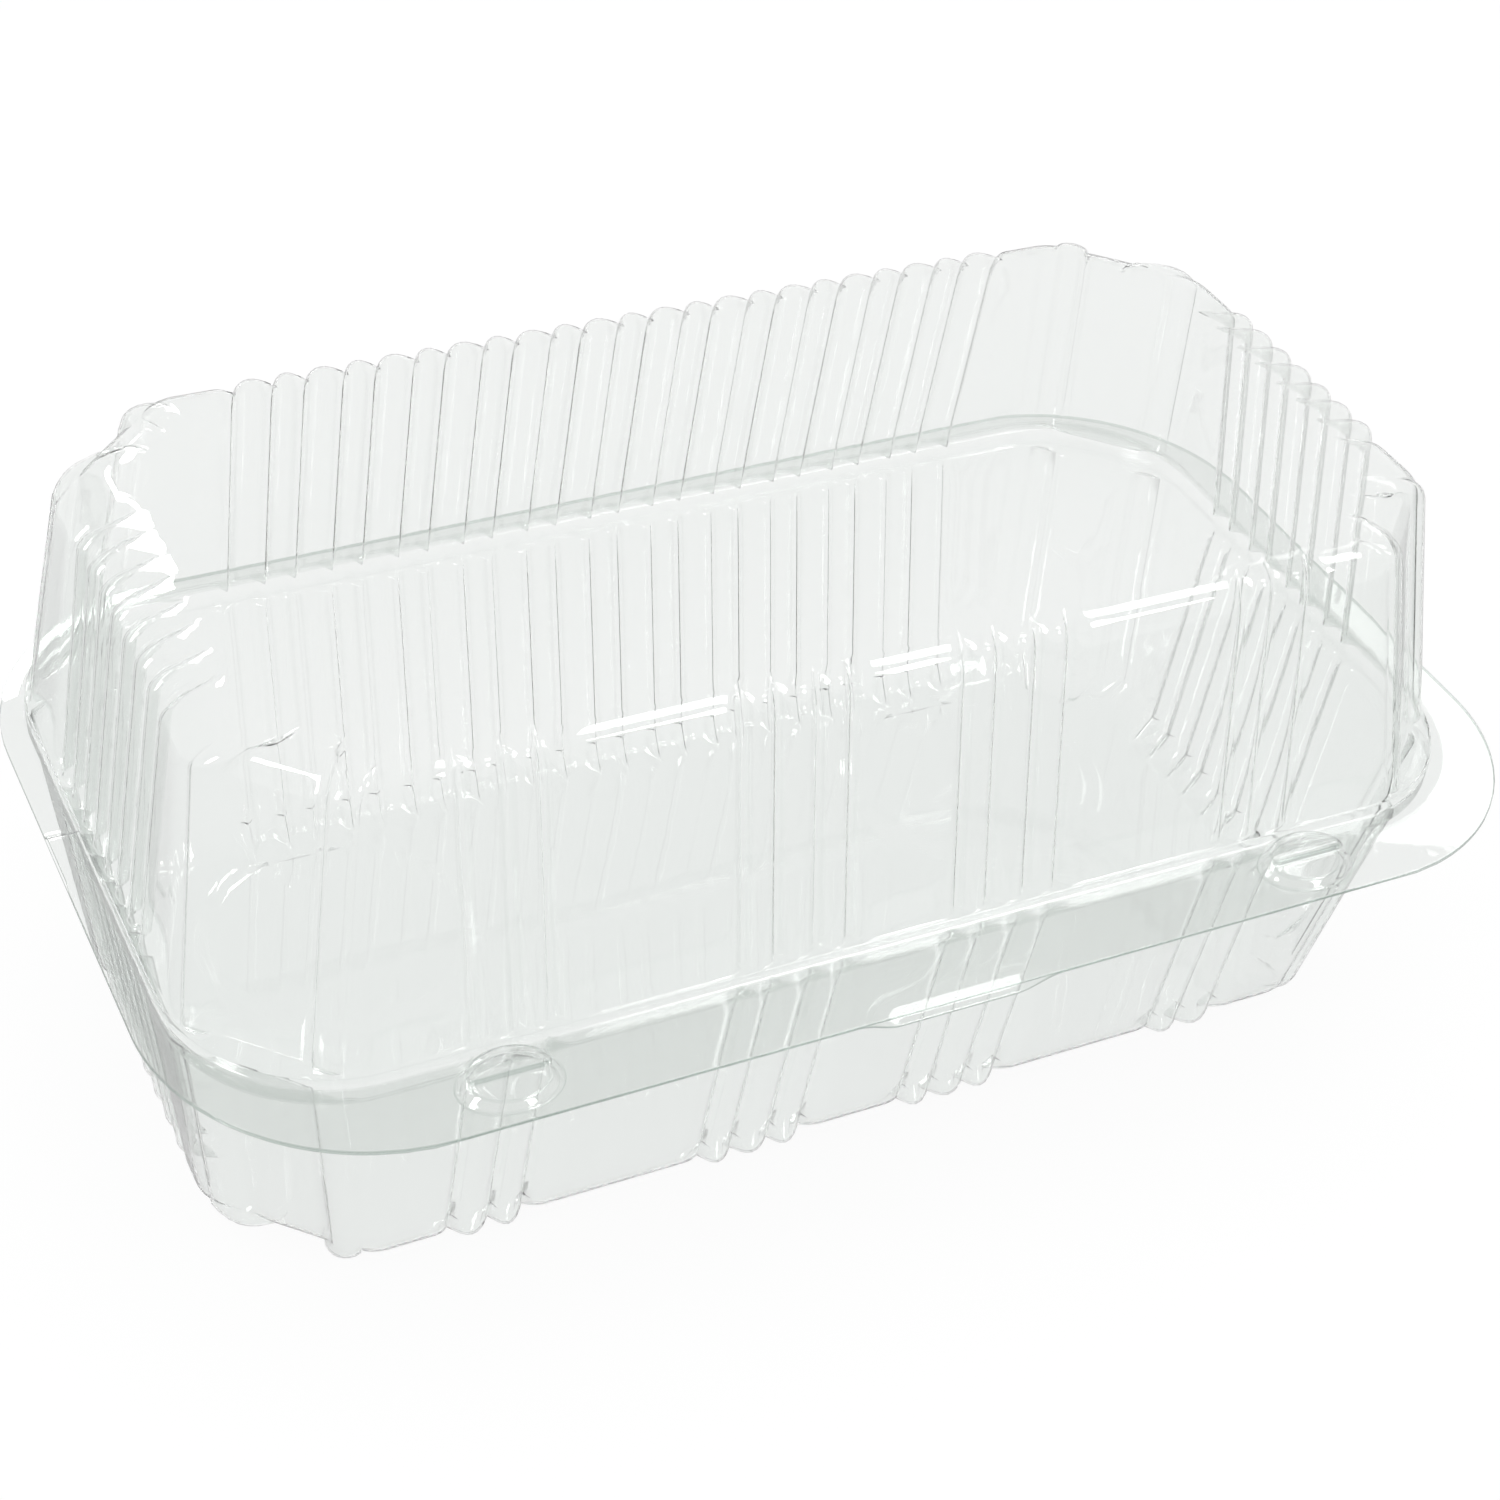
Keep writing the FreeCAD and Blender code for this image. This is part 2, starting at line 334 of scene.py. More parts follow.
@dataclass(frozen=True)
class FluteRule:
    """Sizes of the flutes and of the corner posts.

    Attributes:
        wide: width of a wide flute.
        narrow: width of a narrow flute.
        depth: depth of the groove between two flutes.
        roundness: share of a half circle that a flute's section takes.
        post_width: width of a corner post.
        post_rise: how far a post stands out.
        post_from_edge: from a post's axis to the end of its cut corner.
        margin: least plain wall beside the last groove.
        snap_side: which grooves the snap side has, from the middle outward.
    """

    wide: float = 0.00715
    narrow: float = 0.00576
    depth: float = 0.0028
    roundness: float = 0.93
    post_width: float = 0.0058
    post_rise: float = 0.0016
    post_from_edge: float = 0.0046
    margin: float = 0.009
    snap_side: tuple[bool, ...] = (False,) + (True,) * 4 + (False,) * 4 + (True,) * 3

    def creases(self, reach: float, middle: float) -> list[float]:
        """Groove positions from the middle flute out to a reach.

        Args:
            reach: the farthest a groove may lie from the middle.
            middle: width of the middle flute.

        Returns:
            The positions on one half, in order.
        """
        widths = (self.wide + self.narrow - middle, middle)
        places = [middle / 2]
        while places[-1] + widths[0] <= reach:
            places.append(places[-1] + widths[0])
            widths = widths[::-1]
        return places

    def tree(self, material: bpy.types.Material) -> bpy.types.NodeTree:
        """Makes the node tree that presses flutes and posts into a plain sheet.

        The sheet brings where each point lies along its side, the width of that side's middle flute, how
        deep the groove may go there, its place across a post, the direction into the pack, and how far
        the crest of a flute stands past the shoulder there.

        Args:
            material: what the pressed sheet is made of.

        Returns:
            A geometry tree with one named input for each size.
        """
        tree = bpy.data.node_groups.new("press_flutes", "GeometryNodeTree")
        tree.interface.new_socket("Sheet", in_out="INPUT", socket_type="NodeSocketGeometry")
        for name in self._inputs():
            tree.interface.new_socket(name, in_out="INPUT", socket_type="NodeSocketFloat")
        tree.interface.new_socket("Sheet", in_out="OUTPUT", socket_type="NodeSocketGeometry")
        graph = Graph(tree)
        sizes = graph.add("NodeGroupInput").outputs
        share = self._crease(graph, sizes)
        deepest = graph.math("MULTIPLY", share, sizes["Groove depth"])
        groove = graph.math("MULTIPLY", deepest, graph.attribute("groove", "FLOAT"))
        inward = graph.math("SUBTRACT", groove, self._post(graph, sizes))
        pressed = self._scaled(graph, "into", inward)
        raised = self._scaled(graph, "lift", graph.math("SUBTRACT", 1.0, share))
        both = graph.add("ShaderNodeVectorMath", {0: pressed, 1: raised}, operation="ADD").outputs[0]
        moved = graph.add("GeometryNodeSetPosition", {"Geometry": sizes["Sheet"], "Offset": both})
        whole = graph.add("GeometryNodeRealizeInstances", {0: moved.outputs[0]}).outputs[0]
        painted = graph.add("GeometryNodeSetMaterial", {"Geometry": whole, "Material": material})
        graph.add("NodeGroupOutput", {"Sheet": painted.outputs[0]})
        return tree

    def _inputs(self) -> dict[str, float]:
        """The node tree's size inputs.

        Returns:
            Each input's value by its name.
        """
        return {
            "Wide flute": self.wide,
            "Narrow flute": self.narrow,
            "Groove depth": self.depth,
            "Roundness": self.roundness,
            "Post rise": self.post_rise,
        }

    def _scaled(self, graph: Graph, name: str, share: bpy.types.NodeSocket) -> bpy.types.NodeSocket:
        """Scales a direction that the sheet brings.

        Args:
            graph: the tree's graph.
            name: the direction's attribute.
            share: what it is multiplied by.

        Returns:
            The scaled vector.
        """
        sockets = {0: graph.attribute(name, "FLOAT_VECTOR"), "Scale": share}
        return graph.add("ShaderNodeVectorMath", sockets, operation="SCALE").outputs[0]

    def _crease(self, graph: Graph, sizes: bpy.types.bpy_prop_collection) -> bpy.types.NodeSocket:
        """Finds how deep in a groove a point lies, for round flutes with sharp creases between them.

        Args:
            graph: the tree's graph.
            sizes: the tree's inputs.

        Returns:
            Nothing on a crest and one in a crease.
        """
        along = graph.attribute("along", "FLOAT")
        middle = graph.attribute("middle", "FLOAT")
        pair = graph.math("ADD", sizes["Wide flute"], sizes["Narrow flute"])
        half_pair = graph.math("MULTIPLY", pair, 0.5)
        wrapped = graph.math("WRAP", along, half_pair, graph.math("MULTIPLY", half_pair, -1.0))
        folded = graph.math("ABSOLUTE", wrapped)
        half_middle = graph.math("MULTIPLY", middle, 0.5)
        outer = graph.math("GREATER_THAN", folded, half_middle)
        other = graph.math("SUBTRACT", half_pair, half_middle)
        change = graph.math("MULTIPLY", graph.math("SUBTRACT", other, half_middle), outer)
        half = graph.math("ADD", half_middle, change)
        away = graph.math("ABSOLUTE", graph.math("SUBTRACT", folded, half_middle))
        near = graph.math("MAXIMUM", graph.math("SUBTRACT", 1.0, graph.math("DIVIDE", away, half)), 0.0)
        bent = self._arc(graph, graph.math("MULTIPLY", near, sizes["Roundness"]))
        full = self._arc(graph, sizes["Roundness"])
        return graph.math("DIVIDE", graph.math("SUBTRACT", 1.0, bent), graph.math("SUBTRACT", 1.0, full))

    def _post(self, graph: Graph, sizes: bpy.types.bpy_prop_collection) -> bpy.types.NodeSocket:
        """Finds how far a post stands out at a point.

        Args:
            graph: the tree's graph.
            sizes: the tree's inputs.

        Returns:
            The rise.
        """
        across = graph.math("MINIMUM", graph.math("ABSOLUTE", graph.attribute("across", "FLOAT")), 1.0)
        rise = graph.math("MULTIPLY", self._arc(graph, across), sizes["Post rise"])
        return graph.math("MULTIPLY", rise, graph.attribute("post", "FLOAT"))

    def _arc(self, graph: Graph, value: bpy.types.NodeSocket) -> bpy.types.NodeSocket:
        """Finds the height of a unit circle over a point of its width.

        Args:
            graph: the tree's graph.
            value: the point's distance from the circle's middle.

        Returns:
            The height.
        """
        square = graph.math("MULTIPLY", value, value)
        return graph.math("SQRT", graph.math("MAXIMUM", graph.math("SUBTRACT", 1.0, square), 0.0))

    def press(self, plain: bpy.types.Object, tree: bpy.types.NodeTree) -> None:
        """Adds the pressing to a plain sheet as a modifier.

        Args:
            plain: the sheet.
            tree: the node tree that presses it.
        """
        pressing = plain.modifiers.new("press", "NODES")
        pressing.node_group = tree
        values = self._inputs()
        for item in tree.interface.items_tree:
            if item.in_out == "INPUT" and item.name in values:
                pressing[item.identifier] = values[item.name]


@dataclass
class Station:
    """One point of the plan, which keeps its place on its side from the rim to the closed end.

    Attributes:
        side: the run it lies on, or the run before it on a rounded corner.
        sign: which half of the run it lies on.
        fixed: distance from the run's middle.
        share: how far it lies from the last fixed point to the run's end.
        from_end: distance from the run's end, where it keeps that.
        turn: share of the rounded corner after the run.
        along: distance from the run's middle for the flute rule.
        middle: width of the run's middle flute.
        groove: whether a groove may be pressed here.
        across: place across a post, beyond one where there is none.
        column: how far a flute or post keeps its shape past the shoulder here, from none to one.
    """

    side: Side
    sign: float = 1.0
    fixed: float | None = None
    share: float | None = None
    from_end: float | None = None
    turn: float | None = None
    along: float = 0.0
    middle: float = 0.006
    groove: float = 0.0
    across: float = 2.0
    column: float = 0.0


@dataclass
class Ring:
    """All stations at one level of the shell.

    Attributes:
        plan: x and y of each station.
        height: height of each station over the parting plane.
        out: level direction out of the pack at each station.
        into: direction into the pack at each station, tilted with the sheet.
        groove: share of the full groove depth.
        post: share of the full post rise.
        gauge: how much of the sheet's gauge is left; at the rim's cut edge, the value that paints shade
            there.
        lift: from each station to the crest of a flute that stands past the shoulder there.
    """

    plan: np.ndarray
    height: np.ndarray
    out: np.ndarray
    into: np.ndarray
    groove: float
    post: float
    gauge: float
    lift: np.ndarray


@dataclass
class Form:
    """Sizes of one formed shell, from its rim to its closed end, in metres.

    Attributes:
        facing: which way the closed end points.
        height: from the parting plane to the closed end.
        collar_rise: height of the plain collar.
        draft_ends: how far the end walls lean in.
        draft_sides: how far the long walls lean in.
        shoulder_rise: height of the shoulder.
        shoulder_ends: how far it leans in at the ends.
        shoulder_sides: how far it leans in along the sides.
        shoulder_steps: corners of its section, as shares of inward and upward travel.
        snap_shrink: how much smaller the snap button is than the outer one.
        snap_top: height of the snap button over the parting plane, towards the lid.
        vent_rise: height of the steam channel, or none.
        lift_drop: drop of the finger lift at the rim, or none.
        floor_rings: whether the closed end has the two round reliefs.
        end_gauge: how much of the sheet's gauge is left at the closed end.
    """

    facing: Facing
    height: float
    collar_rise: float
    draft_ends: float
    draft_sides: float
    shoulder_rise: float
    shoulder_ends: float
    shoulder_sides: float
    shoulder_steps: tuple[tuple[float, float], ...]
    snap_shrink: float
    snap_top: float
    vent_rise: float = 0.0
    lift_drop: float = 0.0
    floor_rings: bool = False
    end_gauge: float = 0.1


# Points across a post, in degrees of a half circle.
POST_ANGLES = (-90, -72, -54, -36, -18, 0, 18, 36, 54, 72, 90)
# Levels of the flat rim, as shares of the way from its edge to the collar.
FLANGE_SHARES = (0.0, 0.02, 0.06, 0.12, 0.2, 0.3, 0.45, 0.7, 1.0)
# Levels of the wall, as shares of the way from the ledge to the shoulder.
WALL_SHARES = (0.12, 0.35, 0.6, 0.85)
# What is left of the grooves and posts along the shoulder's inward travel.
SHOULDER_SHARES = (0.0, 0.42, 1.0, 1.14)
SHOULDER_GROOVES = (1.0, 0.88, 0.46, 0.30)
SHOULDER_POSTS = (1.0, 0.9, 0.5, 0.2)
# Levels past the shoulder: distance inward, and what is left of the grooves.
END_INSETS = (
    (0.0004, 0.22),
    (0.0008, 0.12),
    (0.0012, 0.04),
    (0.0017, 0.0),
    (0.0025, 0.0),
    (0.0034, 0.0),
)
# Gauge left in the rim, and the value that paints shade along a cut edge.
FLANGE_GAUGE = 0.4
CUT_EDGE_PAINTED_SHADE = 2.0
# Levels of the rim that a snap button takes, and the flat rim kept beside it.
SNAP_LEVELS = range(1, 8)
SNAP_ROOM = 0.0009
# A snap button from its foot up: share of its width, share of its rise, and gauge left.
# Values over one, at the foot and at the top edge, paint shade lines along those creases.
SNAP_SECTION = (
    (1.015, 0.0, 0.4),
    (1.0, 0.0, 1.5),
    (0.985, 0.02, 0.8),
    (0.97, 0.08, 0.3),
    (0.93, 0.3, 0.2),
    (0.86, 0.66, 0.2),
    (0.82, 0.86, 0.2),
    (0.79, 0.96, 1.2),
    (0.75, 1.0, 0.2),
)
# The step across its top: place, share of the step's height, and gauge left.
# The value over one on the middle line paints a shade line along the step.
SNAP_STEP_LINES = (
    (0.0009, 1.0, 0.2),
    (0.00045, 0.9, 0.4),
    (0.0, 0.5, 1.6),
    (-0.00045, 0.1, 0.4),
    (-0.0009, 0.0, 0.2),
)

LID_FORM = Form(
    facing=Facing.UP,
    height=0.0504,
    collar_rise=0.0020,
    draft_ends=0.0054,
    draft_sides=0.0073,
    shoulder_rise=0.0042,
    shoulder_ends=0.0080,
    shoulder_sides=0.0042,
    shoulder_steps=((0.0, 0.0), (0.42, 0.70), (1.0, 1.0)),
    snap_shrink=0.0,
    snap_top=0.0032,
    vent_rise=0.0018,
)
TRAY_FORM = Form(
    facing=Facing.DOWN,
    height=0.0530,
    collar_rise=0.0035,
    draft_ends=0.0055,
    draft_sides=0.0082,
    shoulder_rise=0.0045,
    shoulder_ends=0.0050,
    shoulder_sides=0.0046,
    shoulder_steps=((0.0, 0.0), (1.0, 1.0)),
    snap_shrink=0.0010,
    snap_top=0.0022,
    lift_drop=0.0020,
    floor_rings=True,
    end_gauge=0.8,
)


@dataclass(frozen=True)
class Layout:
    """Lays out the points of the plan, closest together where the sheet is most curved.

    Attributes:
        flutes: the rule for the flutes and posts.
        long_reach: how far from its middle a long side may have grooves.
        short_reach: how far from its middle an end may have them.
        steps: steps on each side of a crease.
    """

    flutes: FluteRule
    long_reach: float
    short_reach: float
    steps: int = 5

    def stations(self) -> list[Station]:
        """Goes once round the plan.

        Returns:
            The stations, in order.
        """
        stations = []
        for side in Side:
            if side.is_corner:
                stations += self._corner_stations(side)
                continue
            is_end = side in (Side.LEFT, Side.RIGHT)
            middle = self.flutes.wide if is_end else self.flutes.narrow
            creases = self.flutes.creases(self.short_reach if is_end else self.long_reach, middle)
            used = self.flutes.snap_side if side is Side.SNAP else (True,) * len(creases)
            stations += self._side_stations(side, middle, creases, used)
        return stations

    def _side_stations(
        self, side: Side, middle: float, creases: list[float], used: tuple[bool, ...]
    ) -> list[Station]:
        """Stations of one long run.

        Args:
            side: the run.
            middle: width of its middle flute.
            creases: its groove positions on one half.
            used: which of them are pressed.

        Returns:
            The stations from the run's start to its end, with the rounded corner after it.
        """
        other = self.flutes.wide + self.flutes.narrow - middle
        half_flutes = [middle / 2 if index % 2 == 0 else other / 2 for index in range(len(creases) + 1)]
        places = {0.0: False}
        for index, (crease, pressed) in enumerate(zip(creases, used)):
            for width, way in ((half_flutes[index], -1), (half_flutes[index + 1], 1)):
                steps = self.steps if pressed else 1
                for step in range(steps + 1):
                    angle = step / steps * math.asin(self.flutes.roundness)
                    off = width * (1 - math.sin(angle) / self.flutes.roundness)
                    place = round(crease + way * off, 7)
                    places[place] = places.get(place, False) or pressed
        last = max(places)
        half = []
        for place in sorted(places):
            column = self._column(place, creases, used)
            pressed = float(places[place])
            half.append(
                Station(side, fixed=place, along=place, middle=middle, groove=pressed, column=column)
            )
        half += [Station(side, fixed=last, share=step / 5, middle=middle) for step in range(1, 6)]
        twins = [
            replace(station, sign=-1.0, along=-station.along)
            for station in half[::-1]
            if station.fixed != 0.0
        ]
        return twins + half + self._turn_stations(side)

    def _turn_stations(self, side: Side) -> list[Station]:
        """Stations of the rounded corner after a run.

        Args:
            side: the run.

        Returns:
            The stations, in order.
        """
        return [Station(side, turn=step / 5) for step in range(1, 5)]

    def _column(self, place: float, creases: list[float], used: tuple[bool, ...]) -> float:
        """Tells whether a place lies between two pressed grooves, where a whole flute stands.

        Args:
            place: distance from the run's middle.
            creases: the groove positions on one half.
            used: which of them are pressed.

        Returns:
            One where a flute stands, and otherwise nothing.
        """
        before = [pressed for crease, pressed in zip(creases, used) if crease <= place + 1e-6]
        after = [pressed for crease, pressed in zip(creases, used) if crease > place + 1e-6]
        return float(bool(after) and after[0] and (before[-1] if before else used[0]))

    def _corner_stations(self, side: Side) -> list[Station]:
        """Stations of one cut corner, with a post near each end and the rounded corner after it.

        Args:
            side: the corner's run.

        Returns:
            The stations, in order.
        """
        edge, half = self.flutes.post_from_edge, self.flutes.post_width / 2
        posts = []
        for angle in POST_ANGLES:
            across = math.sin(math.radians(angle))
            column = math.sqrt(1 - min(1.0, across**2))
            posts.append(
                Station(side, -1.0, from_end=edge + across * half, across=across, column=column)
            )
        panel = [Station(side, -1.0, share=share, fixed=0.0) for share in (0.75, 0.5, 0.25)]
        panel += [Station(side, 1.0, share=share, fixed=0.0) for share in (0.0, 0.25, 0.5, 0.75)]
        twins = [replace(station, sign=1.0) for station in posts[::-1]]
        first, last = Station(side, -1.0, share=1.0), Station(side, 1.0, share=1.0)
        return [first] + posts + panel + twins + [last] + self._turn_stations(side)


@dataclass(frozen=True)
class RoundReliefs:
    """The two round reliefs in the tray's floor.

    Attributes:
        middle: x and y of the floor's middle.
        radius: radius of each relief.
        spacing: distance between the two.
        from_middle: how far behind the middle they lie.
        rise: how far they stand up.
        slope: half the width of their slope.
        steps: points round each.
    """

    middle: tuple[float, float]
    radius: float = 0.025
    spacing: float = 0.134
    from_middle: float = 0.024
    rise: float = 0.0008
    slope: float = 0.0012
    steps: int = 72

    def distance(self, x: float, y: float) -> float:
        """Finds how far a floor point lies from the nearer relief's edge.

        Args:
            x: the point's x.
            y: the point's y.

        Returns:
            The distance, negative inside the relief.
        """
        across = abs(x - self.middle[0]) - self.spacing / 2
        return math.hypot(across, y - self.middle[1] - self.from_middle) - self.radius

    def points(self) -> list[tuple[float, float]]:
        """Places points along the reliefs' slopes.

        Returns:
            x and y of each point.
        """
        spots = []
        for side in (-1, 1):
            for step in (-2, -1, 0, 1, 2):
                radius = self.radius + step * self.slope
                for index in range(self.steps):
                    angle = math.tau * index / self.steps
                    x = self.middle[0] + side * self.spacing / 2 + radius * math.cos(angle)
                    y = self.middle[1] + self.from_middle + radius * math.sin(angle)
                    spots.append((x, y))
        return spots

    def drop(self, spots: np.ndarray) -> np.ndarray:
        """Finds how much the reliefs bring the floor nearer to the rim.

        Args:
            spots: x and y of the floor's points.

        Returns:
            The change in each point's distance from the rim, none or negative.
        """
        away = np.array([self.distance(x, y) for x, y in spots])
        ramp = np.clip((self.slope - away) / (2 * self.slope), 0.0, 1.0)
        return -self.rise * ramp * ramp * (3 - 2 * ramp)


@dataclass(frozen=True)
class SnapMesh:
    """Points and faces of one snap button.

    Attributes:
        points: x, y and height of each point.
        foot: point numbers round the foot.
        faces: point numbers of each face.
        gauge: how much of the sheet's gauge each point keeps, over one where shade lines are painted along
            creases.
    """

    points: np.ndarray
    foot: list[int]
    faces: list[tuple[int, ...]]
    gauge: list[float]


@dataclass(frozen=True)
class SnapButton:
    """A press-in snap button with a stepped top, on the front of the rim.

    Attributes:
        length: its length along the rim.
        depth: its depth.
        front_land: flat rim in front of it.
        back_land: flat rim behind it.
        from_ends: from its middle to the collar's end.
        step: how much lower the front half of its top lies.
        sides: steps round it.
    """

    length: float = 0.0176
    depth: float = 0.0132
    front_land: float = 0.0018
    back_land: float = 0.0005
    from_ends: float = 0.0446
    step: float = 0.0011
    sides: int = 48

    @property
    def flange(self) -> float:
        """Width of rim that the button needs.

        Returns:
            The width.
        """
        return self.front_land + self.depth + self.back_land

    def build(
        self, middle: tuple[float, float], shrink: float, land: float, top: float, facing: Facing
    ) -> SnapMesh:
        """Shapes one button from its foot up.

        Args:
            middle: x and y of its middle.
            shrink: how much smaller than the outer button it is.
            land: height of the rim over the parting plane.
            top: height of its top, towards the lid.
            facing: which way its shell's closed end points.

        Returns:
            The button, with heights towards the shell's closed end.
        """
        way = facing.value
        half_x, half_y = self.length / 2 - shrink, self.depth / 2 - shrink
        points, rings, gauge = [], [], []
        for width, rise, left in SNAP_SECTION:
            gauge += [left] * self.sides
            rings.append(list(range(len(points), len(points) + self.sides)))
            for index in range(self.sides):
                angle = math.tau * (index + 0.5) / self.sides
                end = top if math.sin(angle) > 0 else top - self.step
                x = middle[0] + half_x * width * math.cos(angle)
                y = middle[1] + half_y * width * math.sin(angle)
                points.append((x, y, land + way * (end - land) * rise))
        faces = []
        for inner, outside in zip(rings[1:], rings):
            for index in range(self.sides):
                following = (index + 1) % self.sides
                faces.append((outside[index], outside[following], inner[following], inner[index]))
        faces += self._top(points, rings[-1], middle[1], way * top, way * (top - self.step))
        gauge += [left for _, _, left in SNAP_STEP_LINES] * (self.sides // 2)
        return SnapMesh(np.array(points), rings[0], faces, gauge)

    def _top(
        self,
        points: list[tuple[float, float, float]],
        edge: list[int],
        middle_y: float,
        full: float,
        low: float,
    ) -> list[tuple[int, ...]]:
        """Faces of the top: a high rear half, a step across and a low front half.

        Args:
            points: the button's points, to which those of the step are added.
            edge: point numbers round the top.
            middle_y: where the step runs.
            full: height of the rear half.
            low: height of the front half.

        Returns:
            The faces.
        """
        lines = []
        for index in range(self.sides // 2):
            rear = edge[index]
            line = [rear]
            for place, share, _ in SNAP_STEP_LINES:
                reach = points[rear][1] - middle_y
                y = middle_y + (place if abs(place) < reach else math.copysign(reach * 0.9, place))
                line.append(len(points))
                points.append((points[rear][0], y, low + (full - low) * share))
            lines.append(line + [edge[self.sides - 1 - index]])
        faces = []
        for first, second in zip(lines, lines[1:]):
            for step in range(len(first) - 1):
                faces.append((first[step], first[step + 1], second[step + 1], second[step]))
        faces += [tuple(lines[0][::-1]), tuple(lines[-1])]
        return [face[::-1] for face in faces]


@dataclass
class FormedShell:
    """One formed half of the pack: rim, collar, fluted walls, shoulder and closed end.

    Attributes:
        name: the piece's name.
        node: the CAD node it stands for.
        form: its sizes.
        flutes: the rule for its flutes and posts.
        sheet: thickness of the sheet.
        rim_gap: gap between the two rims.
        rim_corner: corner radius of the rim.
        fold_room: how far the rim ends short of the back, for the fold.
        lift_room: how far the tray's rim ends short of the front.
        flange_left: least width of the rim on the left.
        flange_right: least width of the rim on the right.
        flange_back: width of the rim at the back.
        snap: the snap buttons' sizes.
        collar_corner: corner radius of the collar.
        ledge: width of the ledge at the foot of the flutes.
        corner_land: least ledge at a cut corner.
        corner_taper: how much narrower the cut corners are past the shoulder.
        edge_round: radius of the vertical edges beside a cut corner.
        corner_edge: plain wall between such an edge and the corner's panel.
        column_width: share of the shoulder's travel that a flute's crest turns over in.
        column_crown: how far a crest stays under the closed end.
        column_fade: how far past the shoulder a flute runs out.
        fillet: radius of the sheet's small bends.
        vent_width: width of the steam channel.
        vent_slope: width of each of its slopes.
        lift_reach: half the length of the finger lift.
        lift_slope: length of each of its slopes.
        end_pitch: spacing of the closed end's points.
    """

    name: str
    node: str
    form: Form
    flutes: FluteRule
    sheet: float = 0.00035
    rim_gap: float = 0.00004
    rim_corner: float = 0.039
    fold_room: float = 0.00042
    lift_room: float = 0.0002
    flange_left: float = 0.0054
    flange_right: float = 0.0084
    flange_back: float = 0.0055
    snap: SnapButton = SnapButton()
    collar_corner: float = 0.028
    ledge: float = 0.0008
    corner_land: float = 0.0003
    corner_taper: float = 0.0045
    edge_round: float = 0.0072
    corner_edge: float = 0.0011
    column_width: float = 0.62
    column_crown: float = 0.0003
    column_fade: float = 0.0034
    fillet: float = 0.0003
    vent_width: float = 0.0155
    vent_slope: float = 0.0022
    lift_reach: float = 0.0185
    lift_slope: float = 0.008
    end_pitch: float = 0.005

    def __post_init__(self) -> None:
        """Reads the rim's size from the frame and lays out the plan."""
        low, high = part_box(self.node)
        self.half_length = (high.x - low.x) / 2
        self.half_depth = (high.y - low.y) / 2
        self.collar_half_x = self.half_length - (self.flange_left + self.flange_right) / 2
        self.collar_half_y = self.half_depth - (self.snap.flange + self.flange_back) / 2
        widths = [self.flange_left - self.flange_right, self.snap.flange - self.flange_back]
        self.dome = np.array(widths) / 2
        self.foot_x = self.collar_half_x - self.ledge
        self.foot_y = self.collar_half_y - self.ledge
        chord = (self.collar_corner - self.corner_land) ** 2 - (self.collar_corner - self.ledge) ** 2
        self.cut = self.collar_corner - self.ledge - math.sqrt(chord)
        self.land = self.rim_gap / 2 + self.sheet
        corner = self.cut - self.corner_taper + self.flutes.margin
        long_reach = self.foot_x - self.form.draft_ends - self.form.shoulder_ends - corner
        short_reach = self.foot_y - self.form.draft_sides - self.form.shoulder_sides - corner
        self.stations = Layout(self.flutes, long_reach, short_reach).stations()
        self.reliefs = RoundReliefs(tuple(self.dome)) if self.form.floor_rings else None

    def _outline(self, half_x: float, half_y: float, cut: float) -> tuple[np.ndarray, np.ndarray]:
        """Places every station on a rectangle with cut corners.

        Args:
            half_x: half its length.
            half_y: half its depth.
            cut: how much of each side a cut corner takes.

        Returns:
            The points and the outward directions.
        """
        signs = ((-1, -1), (1, -1), (1, 1), (-1, 1))
        corners = []
        for index, (sign_x, sign_y) in enumerate(signs):
            on_x = np.array([sign_x * (half_x - cut), sign_y * half_y])
            on_y = np.array([sign_x * half_x, sign_y * (half_y - cut)])
            corners += [on_y, on_x] if index % 2 == 0 else [on_x, on_y]
        corners = corners[1:] + corners[:1]
        pull = self.edge_round * math.tan(math.radians(22.5))
        near = self.corner_edge / pull
        points, outward = [], []
        for station in self.stations:
            start, end = corners[station.side.value], corners[(station.side.value + 1) % 8]
            length = np.linalg.norm(end - start) / 2
            way = (end - start) / (2 * length)
            out = np.array([way[1], -way[0]])
            if station.turn is not None:
                spans = (-near, 1.0) if station.side.is_corner else (-1.0, near)
                place = spans[0] + (spans[1] - spans[0]) * station.turn
                sign = 1.0
            else:
                reach = self._reach(station, length, pull)
                place = -(length - reach) / pull
                sign = station.sign
            if place > -1.0:
                angle = math.radians(22.5) * (place + 1.0)
                turned = out * math.cos(angle) + way * sign * math.sin(angle)
                centre = (start + end) / 2 + way * sign * (length - pull) - out * self.edge_round
                points.append(centre + turned * self.edge_round)
                outward.append(turned)
                continue
            points.append((start + end) / 2 + way * sign * reach)
            outward.append(out)
        return np.array(points) + self.dome, np.array(outward)

    def _reach(self, station: Station, length: float, pull: float) -> float:
        """Distance of a station from the middle of its run, at one level.

        Args:
            station: the station.
            length: half the length of its run there.
            pull: how much of that the rounded corner takes.

        Returns:
            The distance.
        """
        if station.from_end is not None:
            return length - station.from_end
        if station.share is None:
            return station.fixed
        if station.side.is_corner:
            inside = length - self.flutes.post_from_edge - self.flutes.post_width / 2
            return length - self.corner_edge if station.share == 1.0 else station.share * inside
        return station.fixed + station.share * (length - pull - station.fixed)

